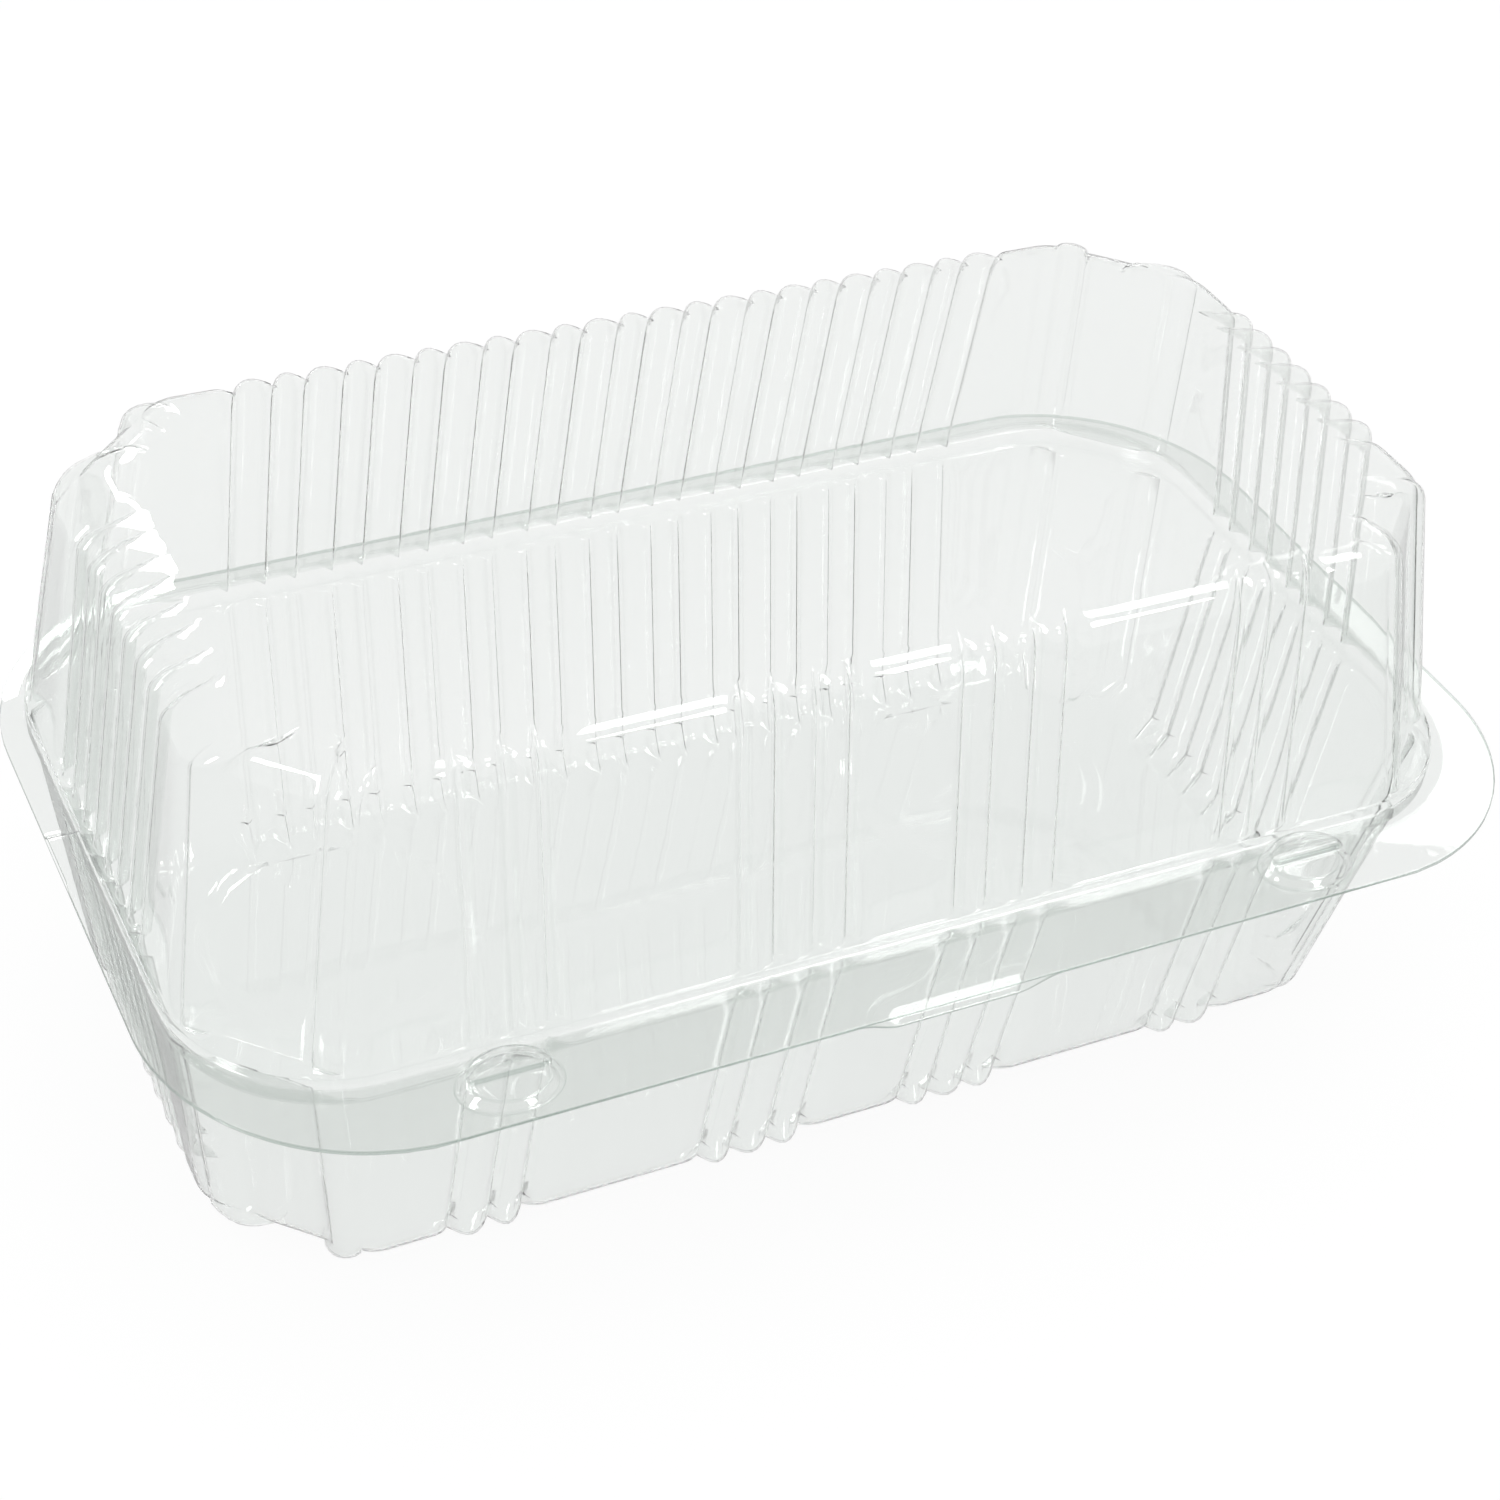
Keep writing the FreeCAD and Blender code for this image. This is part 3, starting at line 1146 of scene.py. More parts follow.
    def _rounded(
        self, points: np.ndarray, half: tuple[float, float], corner: float, middle: np.ndarray
    ) -> np.ndarray:
        """Carries points outward onto a rounded rectangle.

        Args:
            points: where the stations stand on the foot of the wall.
            half: half the rectangle's length and depth.
            corner: its corner radius.
            middle: where its middle lies.

        Returns:
            The points on the rectangle.
        """
        centre = np.array([half[0] - corner, half[1] - corner])
        local = points - middle
        folded = np.abs(local)
        beyond = np.maximum(folded - centre, 0.0)
        flat_x = beyond[:, 0] <= 0
        flat_y = beyond[:, 1] <= 0
        length = np.maximum(np.linalg.norm(beyond, axis=1, keepdims=True), 1e-9)
        placed = np.minimum(folded, centre) + beyond / length * corner
        placed[flat_x, 1] = half[1]
        placed[flat_y, 0] = half[0]
        signs = np.where(local < 0, -1.0, 1.0)
        return placed * signs + middle

    def _collar(self, foot: np.ndarray, inset: float) -> np.ndarray:
        """The collar's plan, moved inward by an inset.

        Args:
            foot: the plan at the foot of the wall.
            inset: how far the plan moves inward.

        Returns:
            The plan.
        """
        half = (self.collar_half_x - inset, self.collar_half_y - inset)
        return self._rounded(foot, half, self.collar_corner - inset, self.dome)

    def _rings(self) -> list[Ring]:
        """All levels of the shell from the rim's edge to the closed end.

        Returns:
            The levels, in order.
        """
        foot, out = self._outline(self.foot_x, self.foot_y, self.cut)
        return self._flange_rings(foot, out) + self._collar_rings(foot, out) + self._wall_rings()

    def _ring(
        self,
        plan: np.ndarray,
        height: float,
        out: np.ndarray,
        gauge: float,
        tilt: float = 0.0,
        groove: float = 0.0,
        post: float = 0.0,
    ) -> Ring:
        """Makes one level.

        Args:
            plan: x and y of each station.
            height: height over the parting plane.
            out: level direction out of the pack at each station.
            gauge: how much of the sheet's gauge is left; at the rim's cut edge, the value that paints
                shade there.
            tilt: angle of the sheet's outward side over level.
            groove: share of the full groove depth.
            post: share of the full post rise.

        Returns:
            The level.
        """
        count = len(plan)
        into = np.column_stack([-out * math.cos(tilt), np.full(count, -math.sin(tilt))])
        return Ring(plan, np.full(count, height), out, into, groove, post, gauge, np.zeros((count, 3)))

    def _flange_rings(self, foot: np.ndarray, out: np.ndarray) -> list[Ring]:
        """The flat rim, with the steam channel or the finger lift.

        Args:
            foot: the plan at the foot of the wall.
            out: level directions out of the pack.

        Returns:
            The levels, in order.
        """
        rim = self._rounded(foot, (self.half_length, self.half_depth), self.rim_corner, np.zeros(2))
        rim[:, 1] = np.minimum(rim[:, 1], self.half_depth - self.fold_room)
        if self.form.lift_drop:
            rim[:, 1] = np.maximum(rim[:, 1], self.lift_room - self.half_depth)
        inner = self._collar(foot, -self.fillet)
        rings = []
        for share in FLANGE_SHARES:
            # The rim's cut edge takes painted shade; the rest of the rim keeps its gauge tint.
            gauge = FLANGE_GAUGE if share else CUT_EDGE_PAINTED_SHADE
            ring = self._ring(rim + (inner - rim) * share, self.land, out, gauge)
            self._raise_vent(ring)
            if self.form.lift_drop:
                side = np.clip((self.lift_reach - np.abs(ring.plan[:, 0])) / self.lift_slope, 0.0, 1.0)
                on_front = ring.plan[:, 1] < -self.half_depth * 0.7
                fall = max(0.0, 1.0 - share / 0.45) ** 2
                ring.height += on_front * side * side * (3 - 2 * side) * self.form.lift_drop * fall
            rings.append(ring)
        return rings

    def _raise_vent(self, ring: Ring) -> None:
        """Lifts a level where the steam channel crosses it.

        Args:
            ring: the level.
        """
        if not self.form.vent_rise:
            return
        away = np.abs(ring.plan[:, 1] - self.dome[1])
        slope = np.clip((self.vent_width / 2 - away) / self.vent_slope, 0.0, 1.0)
        on_left = ring.plan[:, 0] < self.dome[0] - self.collar_half_x * 0.9
        raised = self.land + (self.form.vent_rise - self.land) * slope * slope * (3 - 2 * slope)
        ring.height = np.where(on_left, np.maximum(ring.height, raised), ring.height)

    def _collar_rings(self, foot: np.ndarray, out: np.ndarray) -> list[Ring]:
        """The plain collar and the ledge at the foot of the flutes.

        Args:
            foot: the plan at the foot of the wall.
            out: level directions out of the pack.

        Returns:
            The levels, in order.
        """
        rings = []
        rise = self.form.collar_rise
        for angle in (30, 60, 90):
            turn = math.radians(angle)
            plan = self._collar(foot, -self.fillet * (1 - math.sin(turn)))
            rings.append(self._ring(plan, self.land + self.fillet * (1 - math.cos(turn)), out, 0.5))
        for angle in (0, 30, 60, 90):
            turn = math.radians(angle)
            plan = self._collar(foot, self.fillet * (1 - math.cos(turn)))
            height = rise - self.fillet * (1 - math.sin(turn))
            rings.append(self._ring(plan, height, out, 0.9))
        for ring in rings:
            self._raise_vent(ring)
        for angle in (0, 45, 90):
            turn = math.radians(angle)
            plan = foot + out * self.fillet * (1 - math.sin(turn))
            height = rise + self.fillet * (1 - math.cos(turn))
            rings.append(self._ring(plan, height, out, 0.85, groove=1.0, post=0.2 + 0.8 * angle / 90))
        return rings

    def _wall_rings(self) -> list[Ring]:
        """The fluted wall, the shoulder and the edge of the closed end.

        Returns:
            The levels, in order.
        """
        form = self.form
        top_of_wall = form.height - form.shoulder_rise
        rings = []
        start = form.collar_rise + self.fillet
        for share in WALL_SHARES:
            height = start + (top_of_wall - start) * share
            rings.append(self._level(0.0, height, 0.0, 1.0, 1.0))
        curve = self._shoulder_curve()
        edge = curve[-1][0]
        for inward, upward, tilt in curve:
            height = top_of_wall + form.shoulder_rise * upward
            groove = float(np.interp(inward, SHOULDER_SHARES, SHOULDER_GROOVES))
            post = float(np.interp(inward, SHOULDER_SHARES, SHOULDER_POSTS))
            ring = self._level(inward, height, tilt, groove, post)
            self._raise_columns(ring, inward, upward, edge, 0.0)
            rings.append(ring)
        for inset, groove in END_INSETS:
            ring = self._level(edge, form.height, math.radians(90), groove, 0.0, inset)
            self._raise_columns(ring, edge, 1.0, edge, inset)
            rings.append(ring)
        return rings

    def _raise_columns(
        self, ring: Ring, inward: float, upward: float, edge: float, inset: float
    ) -> None:
        """Sets how far the flutes' crests and the posts stand past the shoulder at one level.

        Args:
            ring: the level.
            inward: share of the shoulder's inward travel.
            upward: share of its rise.
            edge: share of its inward travel at its end.
            inset: distance inward past the shoulder.
        """
        form = self.form
        turn = math.radians(90) * (inward + max(upward, 0.0)) / (edge + 1.0)
        fade = max(0.0, 1.0 - inset / self.column_fade)
        back = (inward - self.column_width * (1 - math.cos(turn))) * fade
        rise = (math.sin(turn) - max(upward, 0.0)) * form.shoulder_rise
        rise -= self.column_crown * (math.sin(turn) if inset == 0.0 else fade * fade)
        for index, station in enumerate(self.stations):
            stand = station.column * (back * self._shoulder_travel(station.side))
            up = rise * station.column
            if station.side.is_corner:
                pushed = -ring.into[index, 2] * self.flutes.post_rise * ring.post * station.column
                up = min(up, form.height - ring.height[index]) - pushed
            ring.lift[index] = (*(ring.out[index] * stand), up)

    def _shoulder_travel(self, side: Side) -> float:
        """How far the shoulder leans in along one run.

        Args:
            side: the run.

        Returns:
            The distance.
        """
        form = self.form
        if side.is_corner:
            return (form.shoulder_ends + form.shoulder_sides - self.corner_taper) / math.sqrt(2)
        return form.shoulder_ends if side in (Side.LEFT, Side.RIGHT) else form.shoulder_sides

    def _level(
        self, inward: float, height: float, tilt: float, groove: float, post: float, inset: float = 0.0
    ) -> Ring:
        """One level of the wall or shoulder.

        Args:
            inward: share of the shoulder's inward travel.
            height: height over the parting plane.
            tilt: angle of the sheet's outward side over level.
            groove: share of the full groove depth.
            post: share of the full post rise.
            inset: further distance inward.

        Returns:
            The level.
        """
        form = self.form
        top_of_wall = form.height - form.shoulder_rise
        lean = min(1.0, (height - form.collar_rise) / (top_of_wall - form.collar_rise))
        half_x = self.foot_x - form.draft_ends * lean - form.shoulder_ends * inward - inset
        half_y = self.foot_y - form.draft_sides * lean - form.shoulder_sides * inward - inset
        cut = self.cut - self.corner_taper * inward - inset * (2 - math.sqrt(2))
        plan, out = self._outline(half_x, half_y, cut)
        drawn = 0.85 - 0.35 * lean - (0.5 - form.end_gauge) * min(1.0, inward)
        return self._ring(plan, height, out, drawn, tilt, groove, post)

    def _shoulder_curve(self) -> list[tuple[float, float, float]]:
        """The shoulder's section, with rounded corners.

        Returns:
            Inward share, upward share and tilt of each point.
        """
        steps = [np.array(step) for step in self.form.shoulder_steps]
        before = steps[0] - np.array([0.0, 0.6])
        after = steps[-1] + np.array([0.35, 0.0])
        corners = [before] + steps + [after]
        curve = []
        for index in range(1, len(corners) - 1):
            here = corners[index]
            first = here + (corners[index - 1] - here) * 0.4
            last = here + (corners[index + 1] - here) * 0.4
            for share in (0.0, 0.25, 0.5, 0.75, 1.0):
                point = first * (1 - share) ** 2 + here * 2 * share * (1 - share) + last * share**2
                slope = (here - first) * (1 - share) + (last - here) * share
                tilt = math.atan2(slope[0] * self.form.shoulder_sides, slope[1] * self.form.shoulder_rise)
                curve.append((float(max(point[0], 0.0)), float(point[1]), tilt))
        return curve

    def _closed_end(self, edge: np.ndarray) -> tuple[np.ndarray, list[tuple[int, ...]]]:
        """Fills the closed end inside its last level.

        Args:
            edge: x and y of the last level.

        Returns:
            The added points, and triangles whose first numbers count the edge's own points.
        """
        low, high = edge.min(0) + self.end_pitch, edge.max(0) - self.end_pitch
        grid = [
            (x, y)
            for x in np.arange(low[0], high[0], self.end_pitch)
            for y in np.arange(low[1], high[1], self.end_pitch)
            if self._inside(x, y, edge, self.end_pitch * 0.6)
        ]
        if self.reliefs:
            room = self.end_pitch * 0.7
            grid = [spot for spot in grid if abs(self.reliefs.distance(*spot)) > room]
            grid += self.reliefs.points()
        points = [tuple(spot) for spot in edge] + grid
        count = len(edge)
        edges = [(index, (index + 1) % count) for index in range(count)]
        found = delaunay_2d_cdt([Vector(spot) for spot in points], edges, [], 1, 1e-7)
        order = [source[0] for source in found[3]]
        triangles = [tuple(order[index] for index in face) for face in found[2]]
        return np.array([tuple(spot) for spot in points[count:]]), triangles

    def _inside(self, x: float, y: float, edge: np.ndarray, margin: float) -> bool:
        """Tells whether a point lies inside the cut-cornered edge by a margin.

        Args:
            x: the point's x.
            y: the point's y.
            edge: x and y of the edge's points.
            margin: the margin.

        Returns:
            Whether it lies inside.
        """
        half = (edge.max(0) - edge.min(0)) / 2
        away = np.abs(np.array([x, y]) - self.dome)
        slack = half - margin - away
        cut = self.cut - self.corner_taper
        return bool(slack.min() > 0 and slack.sum() > cut)

    def build(self, tree: bpy.types.NodeTree) -> bpy.types.Object:
        """Builds the shell as one closed piece.

        Args:
            tree: the node tree that presses the flutes.

        Returns:
            The finished piece.
        """
        rings = self._rings()
        count = len(self.stations)
        patches = self._snap_patches(rings)
        faces = self._wall_faces(len(rings), patches)
        spots, triangles = self._closed_end(rings[-1].plan)
        first = (len(rings) - 1) * count
        faces += [tuple(first + index for index in triangle) for triangle in triangles]
        drop = self.reliefs.drop(spots) if self.reliefs else 0.0
        end = np.column_stack([spots, np.full(len(spots), self.form.height) + drop])
        levels = [np.column_stack([ring.plan, ring.height]) for ring in rings]
        points = np.vstack([*levels, end])
        gauge = np.repeat([ring.gauge for ring in rings], count)
        gauge = np.append(gauge, np.full(len(spots), self.form.end_gauge))
        # Each snap button brings its gauge and the painted shade lines along its creases.
        for columns, heights in patches:
            points, faces, snap_gauge_and_shade = self._add_snap(points, faces, columns, heights, count)
            gauge = np.append(gauge, snap_gauge_and_shade)
        added = np.zeros((len(points) - len(rings) * count, 3))
        into = np.vstack([*(ring.into for ring in rings), added])
        lift = np.vstack([*(ring.lift for ring in rings), added])
        for vectors in (points, into, lift):
            vectors[:, 2] *= self.form.facing.value
        points[:, 2] += self.parting()
        if self.form.facing is Facing.DOWN:
            faces = [face[::-1] for face in faces]
        plain = self._mesh_object(points, faces)
        self._store_numbers(plain.data, rings, gauge)
        for name, vectors in (("into", into), ("lift", lift)):
            layer = plain.data.attributes.new(name, "FLOAT_VECTOR", "POINT")
            layer.data.foreach_set("vector", vectors.astype(np.float32).ravel())
        self.flutes.press(plain, tree)
        return self._finished(plain)

    def _wall_faces(self, levels: int, patches: list[tuple[range, range]]) -> list[tuple[int, ...]]:
        """Joins each level to the next, except where a snap button stands.

        Args:
            levels: how many levels there are.
            patches: columns and levels that the buttons take.

        Returns:
            Point numbers of each face.
        """
        count = len(self.stations)
        faces = []
        for level in range(levels - 1):
            low, high = level * count, (level + 1) * count
            for index in range(count):
                if any(index in columns and level in heights for columns, heights in patches):
                    continue
                following = (index + 1) % count
                faces.append((low + index, low + following, high + following, high + index))
        return faces

    def _store_numbers(self, mesh: bpy.types.Mesh, rings: list[Ring], gauge: np.ndarray) -> None:
        """Stores what the pressing and the sheet's tint read at each point.

        Args:
            mesh: the plain sheet.
            rings: its levels.
            gauge: how much of the sheet's gauge each point keeps, higher where shade is painted along cut
                edges and snap creases.
        """
        unpressed = Station(Side.SNAP)
        grooves = [station.groove for station in self.stations]
        groove = np.outer([ring.groove for ring in rings], grooves).ravel()
        post = np.repeat([ring.post for ring in rings], len(self.stations))
        store = [("groove", groove, 0.0), ("post", post, 0.0), ("gauge", gauge, 0.0)]
        for name in ("along", "middle", "across"):
            values = np.tile([getattr(station, name) for station in self.stations], len(rings))
            store.append((name, values, getattr(unpressed, name)))
        for name, values, spare in store:
            layer = mesh.attributes.new(name, "FLOAT", "POINT")
            filled = np.append(values, np.full(len(mesh.vertices) - len(values), spare))
            layer.data.foreach_set("value", filled.astype(np.float32))

    def parting(self) -> float:
        """Finds the plane where lid and tray meet.

        Returns:
            Its height.
        """
        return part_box("lid")[0].z - self.rim_gap / 2

    def _mesh_object(self, points: np.ndarray, faces: list[tuple[int, ...]]) -> bpy.types.Object:
        """Makes an object from points and faces.

        Args:
            points: place of each point.
            faces: point numbers of each face.

        Returns:
            The object, in the scene.
        """
        mesh = bpy.data.meshes.new(self.name)
        mesh.from_pydata(points.tolist(), [], faces)
        mesh.update()
        plain = bpy.data.objects.new(self.name + "_plain", mesh)
        bpy.context.scene.collection.objects.link(plain)
        return plain

    def _finished(self, plain: bpy.types.Object) -> bpy.types.Object:
        """Gives the pressed sheet its thickness and turns it into a plain mesh.

        Args:
            plain: the flat-walled sheet with the pressing on it.

        Returns:
            The closed piece.
        """
        wall = plain.modifiers.new("wall", "SOLIDIFY")
        wall.thickness = self.sheet
        wall.offset = -1.0
        wall.use_even_offset = False
        wall.use_rim = True
        graph = bpy.context.evaluated_depsgraph_get()
        mesh = bpy.data.meshes.new_from_object(plain.evaluated_get(graph))
        mesh.name = self.name
        self._drop_loose(mesh)
        self._keep_inside(mesh)
        for name in ("along", "middle", "across", "groove", "post", "into", "lift"):
            layer = mesh.attributes.get(name)
            if layer is not None:
                mesh.attributes.remove(layer)
        mesh.polygons.foreach_set("use_smooth", [True] * len(mesh.polygons))
        piece = bpy.data.objects.new(self.name, mesh)
        bpy.context.scene.collection.objects.link(piece)
        bpy.data.objects.remove(plain)
        return piece

    def _keep_inside(self, mesh: bpy.types.Mesh) -> None:
        """Holds the tips of the posts at the height of the closed end.

        Args:
            mesh: the finished mesh.
        """
        low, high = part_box(self.node)
        places = np.empty(len(mesh.vertices) * 3, dtype=np.float32)
        mesh.vertices.foreach_get("co", places)
        places[2::3] = np.clip(places[2::3], low.z, high.z)
        mesh.vertices.foreach_set("co", places)
        mesh.update()

    def _drop_loose(self, mesh: bpy.types.Mesh) -> None:
        """Removes points that no face uses.

        Args:
            mesh: the finished mesh.
        """
        work = bmesh.new()
        work.from_mesh(mesh)
        loose = [vertex for vertex in work.verts if not vertex.link_faces]
        bmesh.ops.delete(work, geom=loose, context="VERTS")
        work.to_mesh(mesh)
        work.free()

    def _snap_patches(self, rings: list[Ring]) -> list[tuple[range, range]]:
        """Finds the stretch of the rim that each snap button takes.

        Args:
            rings: the shell's levels.

        Returns:
            Columns and levels of each stretch.
        """
        patches = []
        rim = rings[0].plan
        front = [index for index, station in enumerate(self.stations) if station.side is Side.SNAP]
        for side in (-1, 1):
            middle = self._snap_x(side)
            reach = self.snap.length / 2 + SNAP_ROOM
            low = max(index for index in front if rim[index, 0] < middle - reach)
            high = min(index for index in front if rim[index, 0] > middle + reach)
            patches.append((range(low, high), SNAP_LEVELS))
        return patches

    def _add_snap(
        self, points: np.ndarray, faces: list[tuple[int, ...]], columns: range, levels: range, count: int
    ) -> tuple[np.ndarray, list[tuple[int, ...]], list[float]]:
        """Sets one snap button into the rim.

        Args:
            points: the shell's points so far.
            faces: its faces so far.
            columns: the columns that the button's patch takes.
            levels: the levels that it takes.
            count: points in a level.

        Returns:
            The points and faces with the button, and how much gauge the added points keep, with painted
            shade lines along its creases.
        """
        lower, upper = levels[0], levels[-1] + 1
        start, end = columns[0], columns[-1] + 1
        loop = [lower * count + index for index in range(start, end + 1)]
        loop += [level * count + end for level in range(lower + 1, upper)]
        loop += [upper * count + index for index in range(end, start - 1, -1)]
        loop += [level * count + start for level in range(upper - 1, lower, -1)]
        side = math.copysign(1.0, points[loop[0], 0])
        middle = (self._snap_x(side), self.snap.front_land + self.snap.depth / 2 - self.half_depth)
        facing = self.form.facing
        top = self.form.snap_top + (self.land if facing is Facing.DOWN else -self.rim_gap / 2)
        button = self.snap.build(middle, self.form.snap_shrink, self.land, top, facing)
        base = len(points)
        names = loop + [base + index for index in button.foot]
        flat = np.vstack([points, button.points])
        spots = [Vector(flat[index][:2]) for index in names]
        round_hole = range(len(loop), len(names))
        edges = [(index, index + 1) for index in round_hole[:-1]] + [(round_hole[-1], round_hole[0])]
        found = delaunay_2d_cdt(spots, edges, [list(range(len(loop)))], 1, 1e-8)
        placed, triangles, order = found[0], found[2], [source[0] for source in found[3]]
        for triangle in triangles:
            a, b, c = (placed[index] for index in triangle)
            corners = [order[index] for index in triangle]
            if min(corners) >= len(loop):
                continue
            turned = (b - a).cross(c - a) > 0
            faces.append(tuple(names[index] for index in (corners if turned else corners[::-1])))
        faces += [tuple(base + corner for corner in face) for face in button.faces]
        return flat, faces, button.gauge

    def _snap_x(self, side: float) -> float:
        """Finds the middle of the snap button on one half of the rim.

        Args:
            side: which half of the rim it stands on.

        Returns:
            Its x.
        """
        return float(self.dome[0]) + side * (self.collar_half_x - self.snap.from_ends)


@dataclass
class Fold:
    """The living hinge: a narrow round bend that joins the two rims along the back.

    Attributes:
        half_length: half the length of the straight back edge.
        edge_y: where the two rims end.
        parting: height of the plane between them.
        sheet: thickness of the sheet.
        gap: gap between the two rims.
        sides: steps round the bend.
        pieces: steps along it.
    """

    half_length: float
    edge_y: float
    parting: float
    sheet: float = 0.00033
    gap: float = 0.00004
    sides: int = 10
    pieces: int = 60

    def build(self, material: bpy.types.Material) -> bpy.types.Object:
        """Builds the bend as one closed piece.

        Args:
            material: what it is made of.

        Returns:
            The piece.
        """
        outer = self.gap / 2 + self.sheet
        inner = self.gap / 2
        section = []
        for radius, order in ((outer, 1), (inner, -1)):
            arc = []
            for step in range(self.sides + 1):
                angle = math.radians(-90 + 180 * step / self.sides)
                arc.append((radius * math.cos(angle), radius * math.sin(angle)))
            section += arc[::order]
        points, faces = [], []
        count = len(section)
        for piece in range(self.pieces + 1):
            x = -self.half_length + 2 * self.half_length * piece / self.pieces
            for along, up in section:
                points.append((x, self.edge_y + along, self.parting + up))
        for piece in range(self.pieces):
            for index in range(count):
                following = (index + 1) % count
                low, high = piece * count, (piece + 1) * count
                faces.append((low + index, high + index, high + following, low + following))
        faces.append(tuple(range(count)))
        faces.append(tuple(range(self.pieces * count + count - 1, self.pieces * count - 1, -1)))
        mesh = bpy.data.meshes.new("fold")
        mesh.from_pydata(points, [], faces)
        mesh.materials.append(material)
        gauge = mesh.attributes.new("gauge", "FLOAT", "POINT")
        gauge.data.foreach_set("value", [1.0] * len(points))
        work = bmesh.new()
        work.from_mesh(mesh)
        bmesh.ops.recalc_face_normals(work, faces=work.faces)
        work.to_mesh(mesh)
        work.free()
        fold = bpy.data.objects.new("fold", mesh)
        bpy.context.scene.collection.objects.link(fold)
        return fold


@dataclass(frozen=True)
class Softbox:
    """One rectangular lamp aimed at the pack.

    Attributes:
        name: the lamp's name.
        place: where it stands.
        width: its width.
        height: its height.
        power: its power in watts.
        upright: the direction along its height.
    """

    name: str
    place: tuple[float, float, float]
    width: float
    height: float
    power: float
    upright: tuple[float, float, float] = (0.0, 0.0, 1.0)

    def build(self, aim: Vector) -> bpy.types.Object:
        """Makes the lamp and turns it to a point.

        Args:
            aim: the point.

        Returns:
            The lamp, in the scene.
        """
        lamp = bpy.data.lights.new(self.name, "AREA")
        lamp.shape = "RECTANGLE"
        lamp.size = self.width
        lamp.size_y = self.height
        lamp.energy = self.power
        stand = bpy.data.objects.new(self.name, lamp)
        back = (Vector(self.place) - aim).normalized()
        across = Vector(self.upright).cross(back).normalized()
        turn = Matrix((across, back.cross(across), back)).transposed()
        stand.matrix_world = Matrix.Translation(self.place) @ turn.to_4x4()
        bpy.context.scene.collection.objects.link(stand)
        return stand


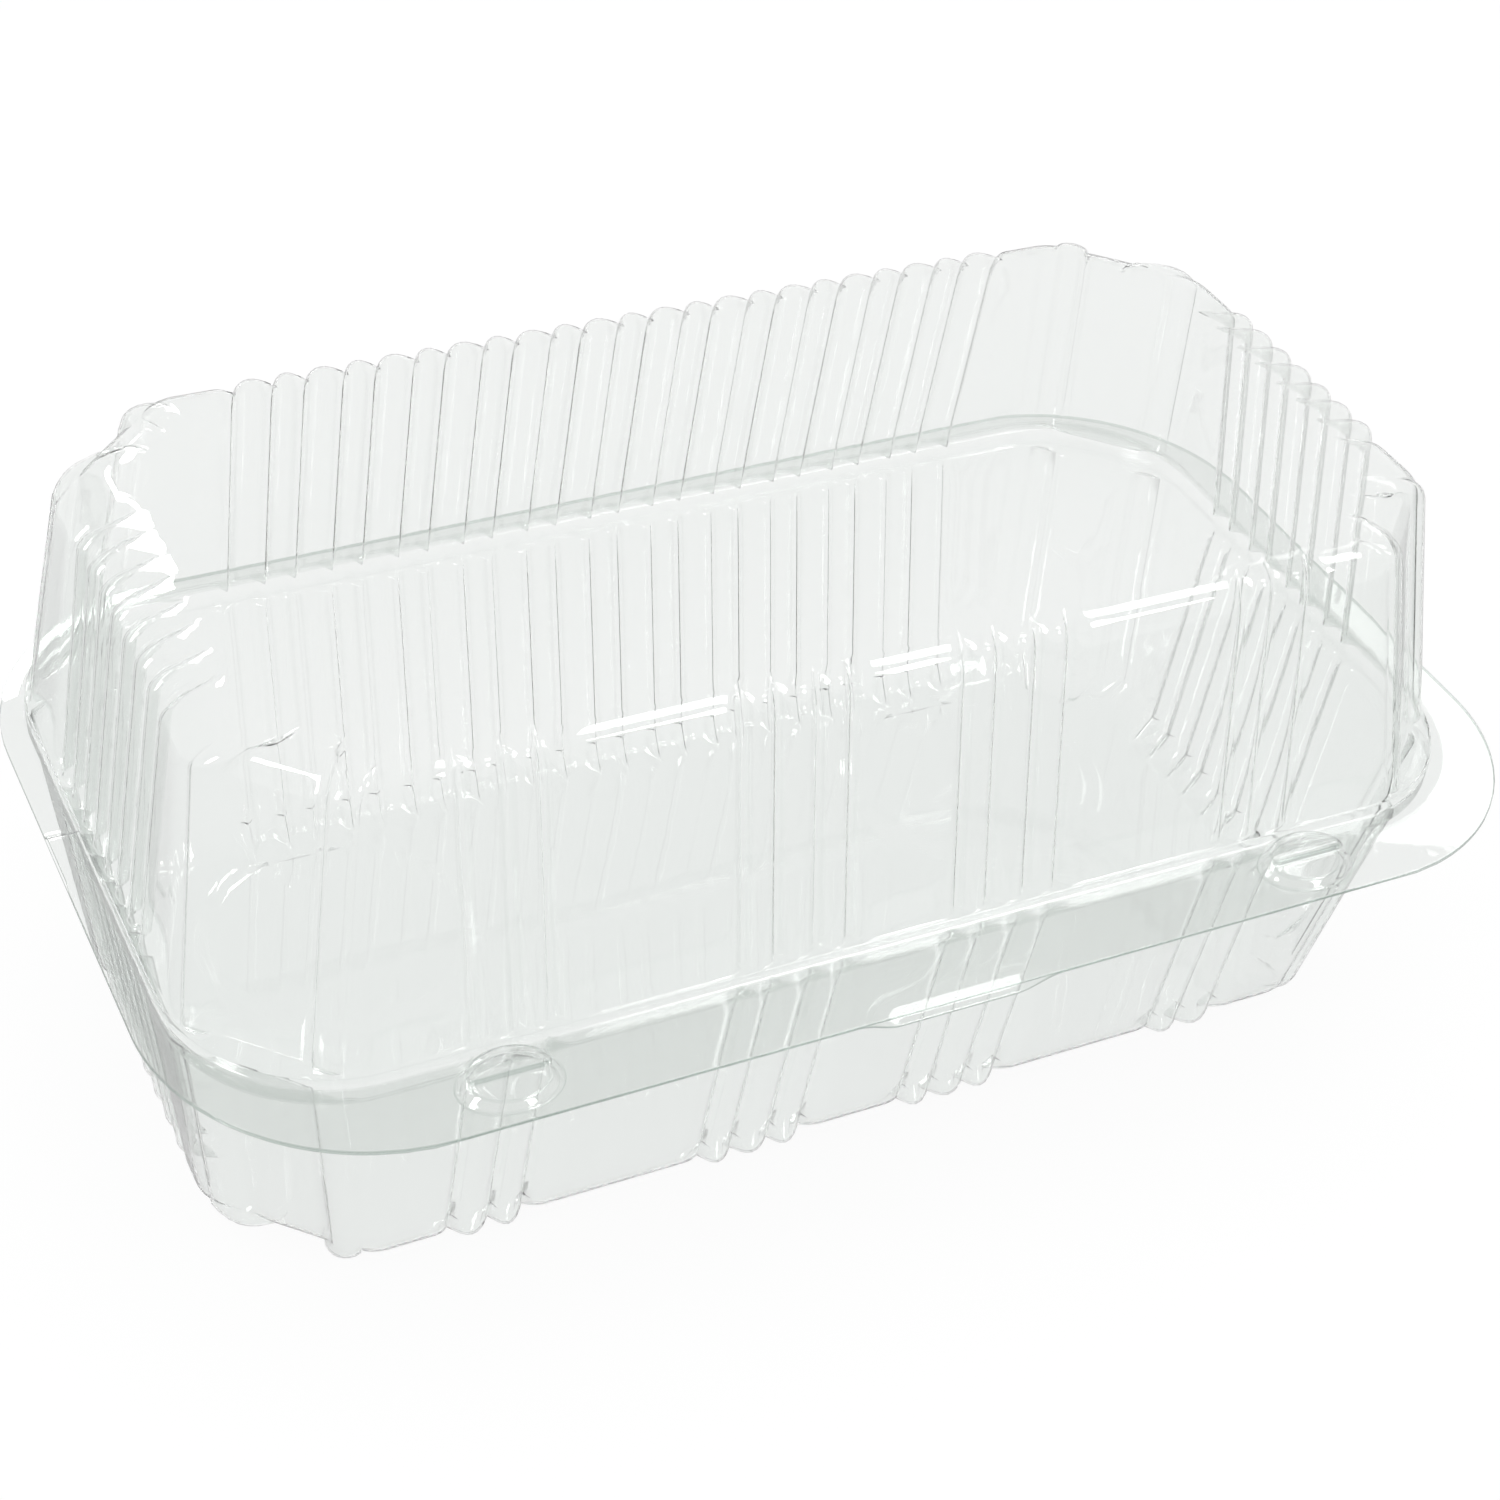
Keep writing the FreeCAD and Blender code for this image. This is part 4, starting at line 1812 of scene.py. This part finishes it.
@dataclass
class Studio:
    """Floor, surroundings, lamps and camera.

    Attributes:
        lamps: the softboxes.
        camera_place: where the camera stands.
        camera_way: the direction in which it looks.
        camera_roll: its roll in degrees.
        lens: focal length on a 36 mm frame.
        aim: the point that the lamps face.
        floor_size: length of the floor's sides.
        floor_drop: how far the floor lies under the pack.
        pale: brightness of the surroundings at the height of the floor.
        dome: their brightness overhead.
    """

    lamps: tuple[Softbox, ...] = (
        Softbox("overhead", (0.75, -0.15, 1.45), 0.4, 0.7, 4.0),
        Softbox("front_right", (0.686, -1.017, 1.154), 0.34, 0.5, 5.5),
        Softbox("left", (-1.3, -0.25, 0.75), 0.3, 0.9, 9.0),
        Softbox("back_left", (0.72, 4.1, 2.9), 0.35, 0.45, 7.5, (0.256, -0.706, 0.66)),
        Softbox("back_right", (2.98, 2.86, 2.99), 0.5, 0.45, 0.9),
    )
    camera_place: tuple[float, float, float] = (-0.2018, -0.3657, 0.3780)
    camera_way: tuple[float, float, float] = (0.3766, 0.6872, -0.6211)
    camera_roll: float = 5.43
    lens: float = 72.0
    aim: tuple[float, float, float] = (0.0, 0.0, 0.05)
    floor_size: float = 12.0
    floor_drop: float = 0.0002
    pale: float = 1.0
    dome: float = 0.92

    def build(self) -> None:
        """Builds the whole studio."""
        self._floor()
        self._surroundings()
        self._camera()
        bpy.context.scene.view_settings.view_transform = "Standard"
        for lamp in self.lamps:
            lamp.build(Vector(self.aim))
        self._bounces()

    def _bounces(self) -> None:
        """Lets light through many clear walls and keeps the floor's own bounce short."""
        paths = bpy.context.scene.cycles
        paths.max_bounces = 14
        paths.transmission_bounces = 14
        paths.glossy_bounces = 6
        paths.diffuse_bounces = 1
        paths.transparent_max_bounces = 24
        paths.caustics_reflective = False
        paths.caustics_refractive = False

    def _floor(self) -> None:
        """Makes the floor just under the pack."""
        half = self.floor_size / 2
        mesh = bpy.data.meshes.new("floor")
        corners = ((-half, -half), (half, -half), (half, half), (-half, half))
        mesh.from_pydata([(x, y, -self.floor_drop) for x, y in corners], [], [(0, 1, 2, 3)])
        mesh.materials.append(PaleFloor().build())
        floor = bpy.data.objects.new("floor", mesh)
        bpy.context.scene.collection.objects.link(floor)

    def _surroundings(self) -> None:
        """Makes surroundings that are white at the height of the floor and a little greyer overhead."""
        world = bpy.data.worlds.new("studio")
        world.use_nodes = True
        bpy.context.scene.world = world
        graph = Graph(world.node_tree)
        place = graph.add("ShaderNodeTexCoord").outputs["Generated"]
        up = graph.add("ShaderNodeSeparateXYZ", {0: place}).outputs["Z"]
        sockets = {"Value": up, "From Min": 0.02, "From Max": 0.30}
        sockets |= {"To Min": self.pale, "To Max": self.dome}
        fall = graph.add("ShaderNodeMapRange", sockets, interpolation_type="SMOOTHSTEP").outputs["Result"]
        light = graph.add("ShaderNodeBackground", {"Color": (1.0, 1.0, 1.0, 1.0), "Strength": fall})
        graph.add("ShaderNodeOutputWorld", {"Surface": light.outputs[0]})

    def _camera(self) -> None:
        """Stands the camera where the photograph was taken."""
        way = Vector(self.camera_way).normalized()
        right = way.cross(Vector((0, 0, 1))).normalized()
        up = right.cross(way)
        roll = math.radians(self.camera_roll)
        across = right * math.cos(roll) + up * math.sin(roll)
        above = up * math.cos(roll) - right * math.sin(roll)
        turn = Matrix((across, above, -way)).transposed()
        data = bpy.data.cameras.new("camera")
        data.lens = self.lens
        data.sensor_width = 36.0
        data.clip_start = 0.01
        camera = bpy.data.objects.new("camera", data)
        camera.matrix_world = Matrix.Translation(self.camera_place) @ turn.to_4x4()
        bpy.context.scene.collection.objects.link(camera)
        bpy.context.scene.camera = camera


def main() -> None:
    """Builds the pack and the studio and reports each piece."""
    logging.basicConfig(level=logging.INFO, format="%(name)s: %(message)s")
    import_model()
    sheet = ClearSheet().build()
    flutes = FluteRule()
    tree = flutes.tree(sheet)
    shells = (
        FormedShell("tray_sheet", "tray", TRAY_FORM, flutes),
        FormedShell("lid_sheet", "lid", LID_FORM, flutes),
    )
    for shell in shells:
        piece = shell.build(tree)
        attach(piece, shell.node)
        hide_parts(shell.node)
        LOG.info("%s: %d faces", piece.name, len(piece.data.polygons))
    lid = shells[1]
    edge_y = lid.half_depth - lid.fold_room
    straight = lid.half_length - lid.rim_corner
    parting = lid.parting()
    fold = Fold(straight, edge_y + 0.00002, parting).build(sheet)
    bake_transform(fold)
    LOG.info("%s: %d faces", fold.name, len(fold.data.polygons))
    Studio().build()


if __name__ == "__main__":
    main()
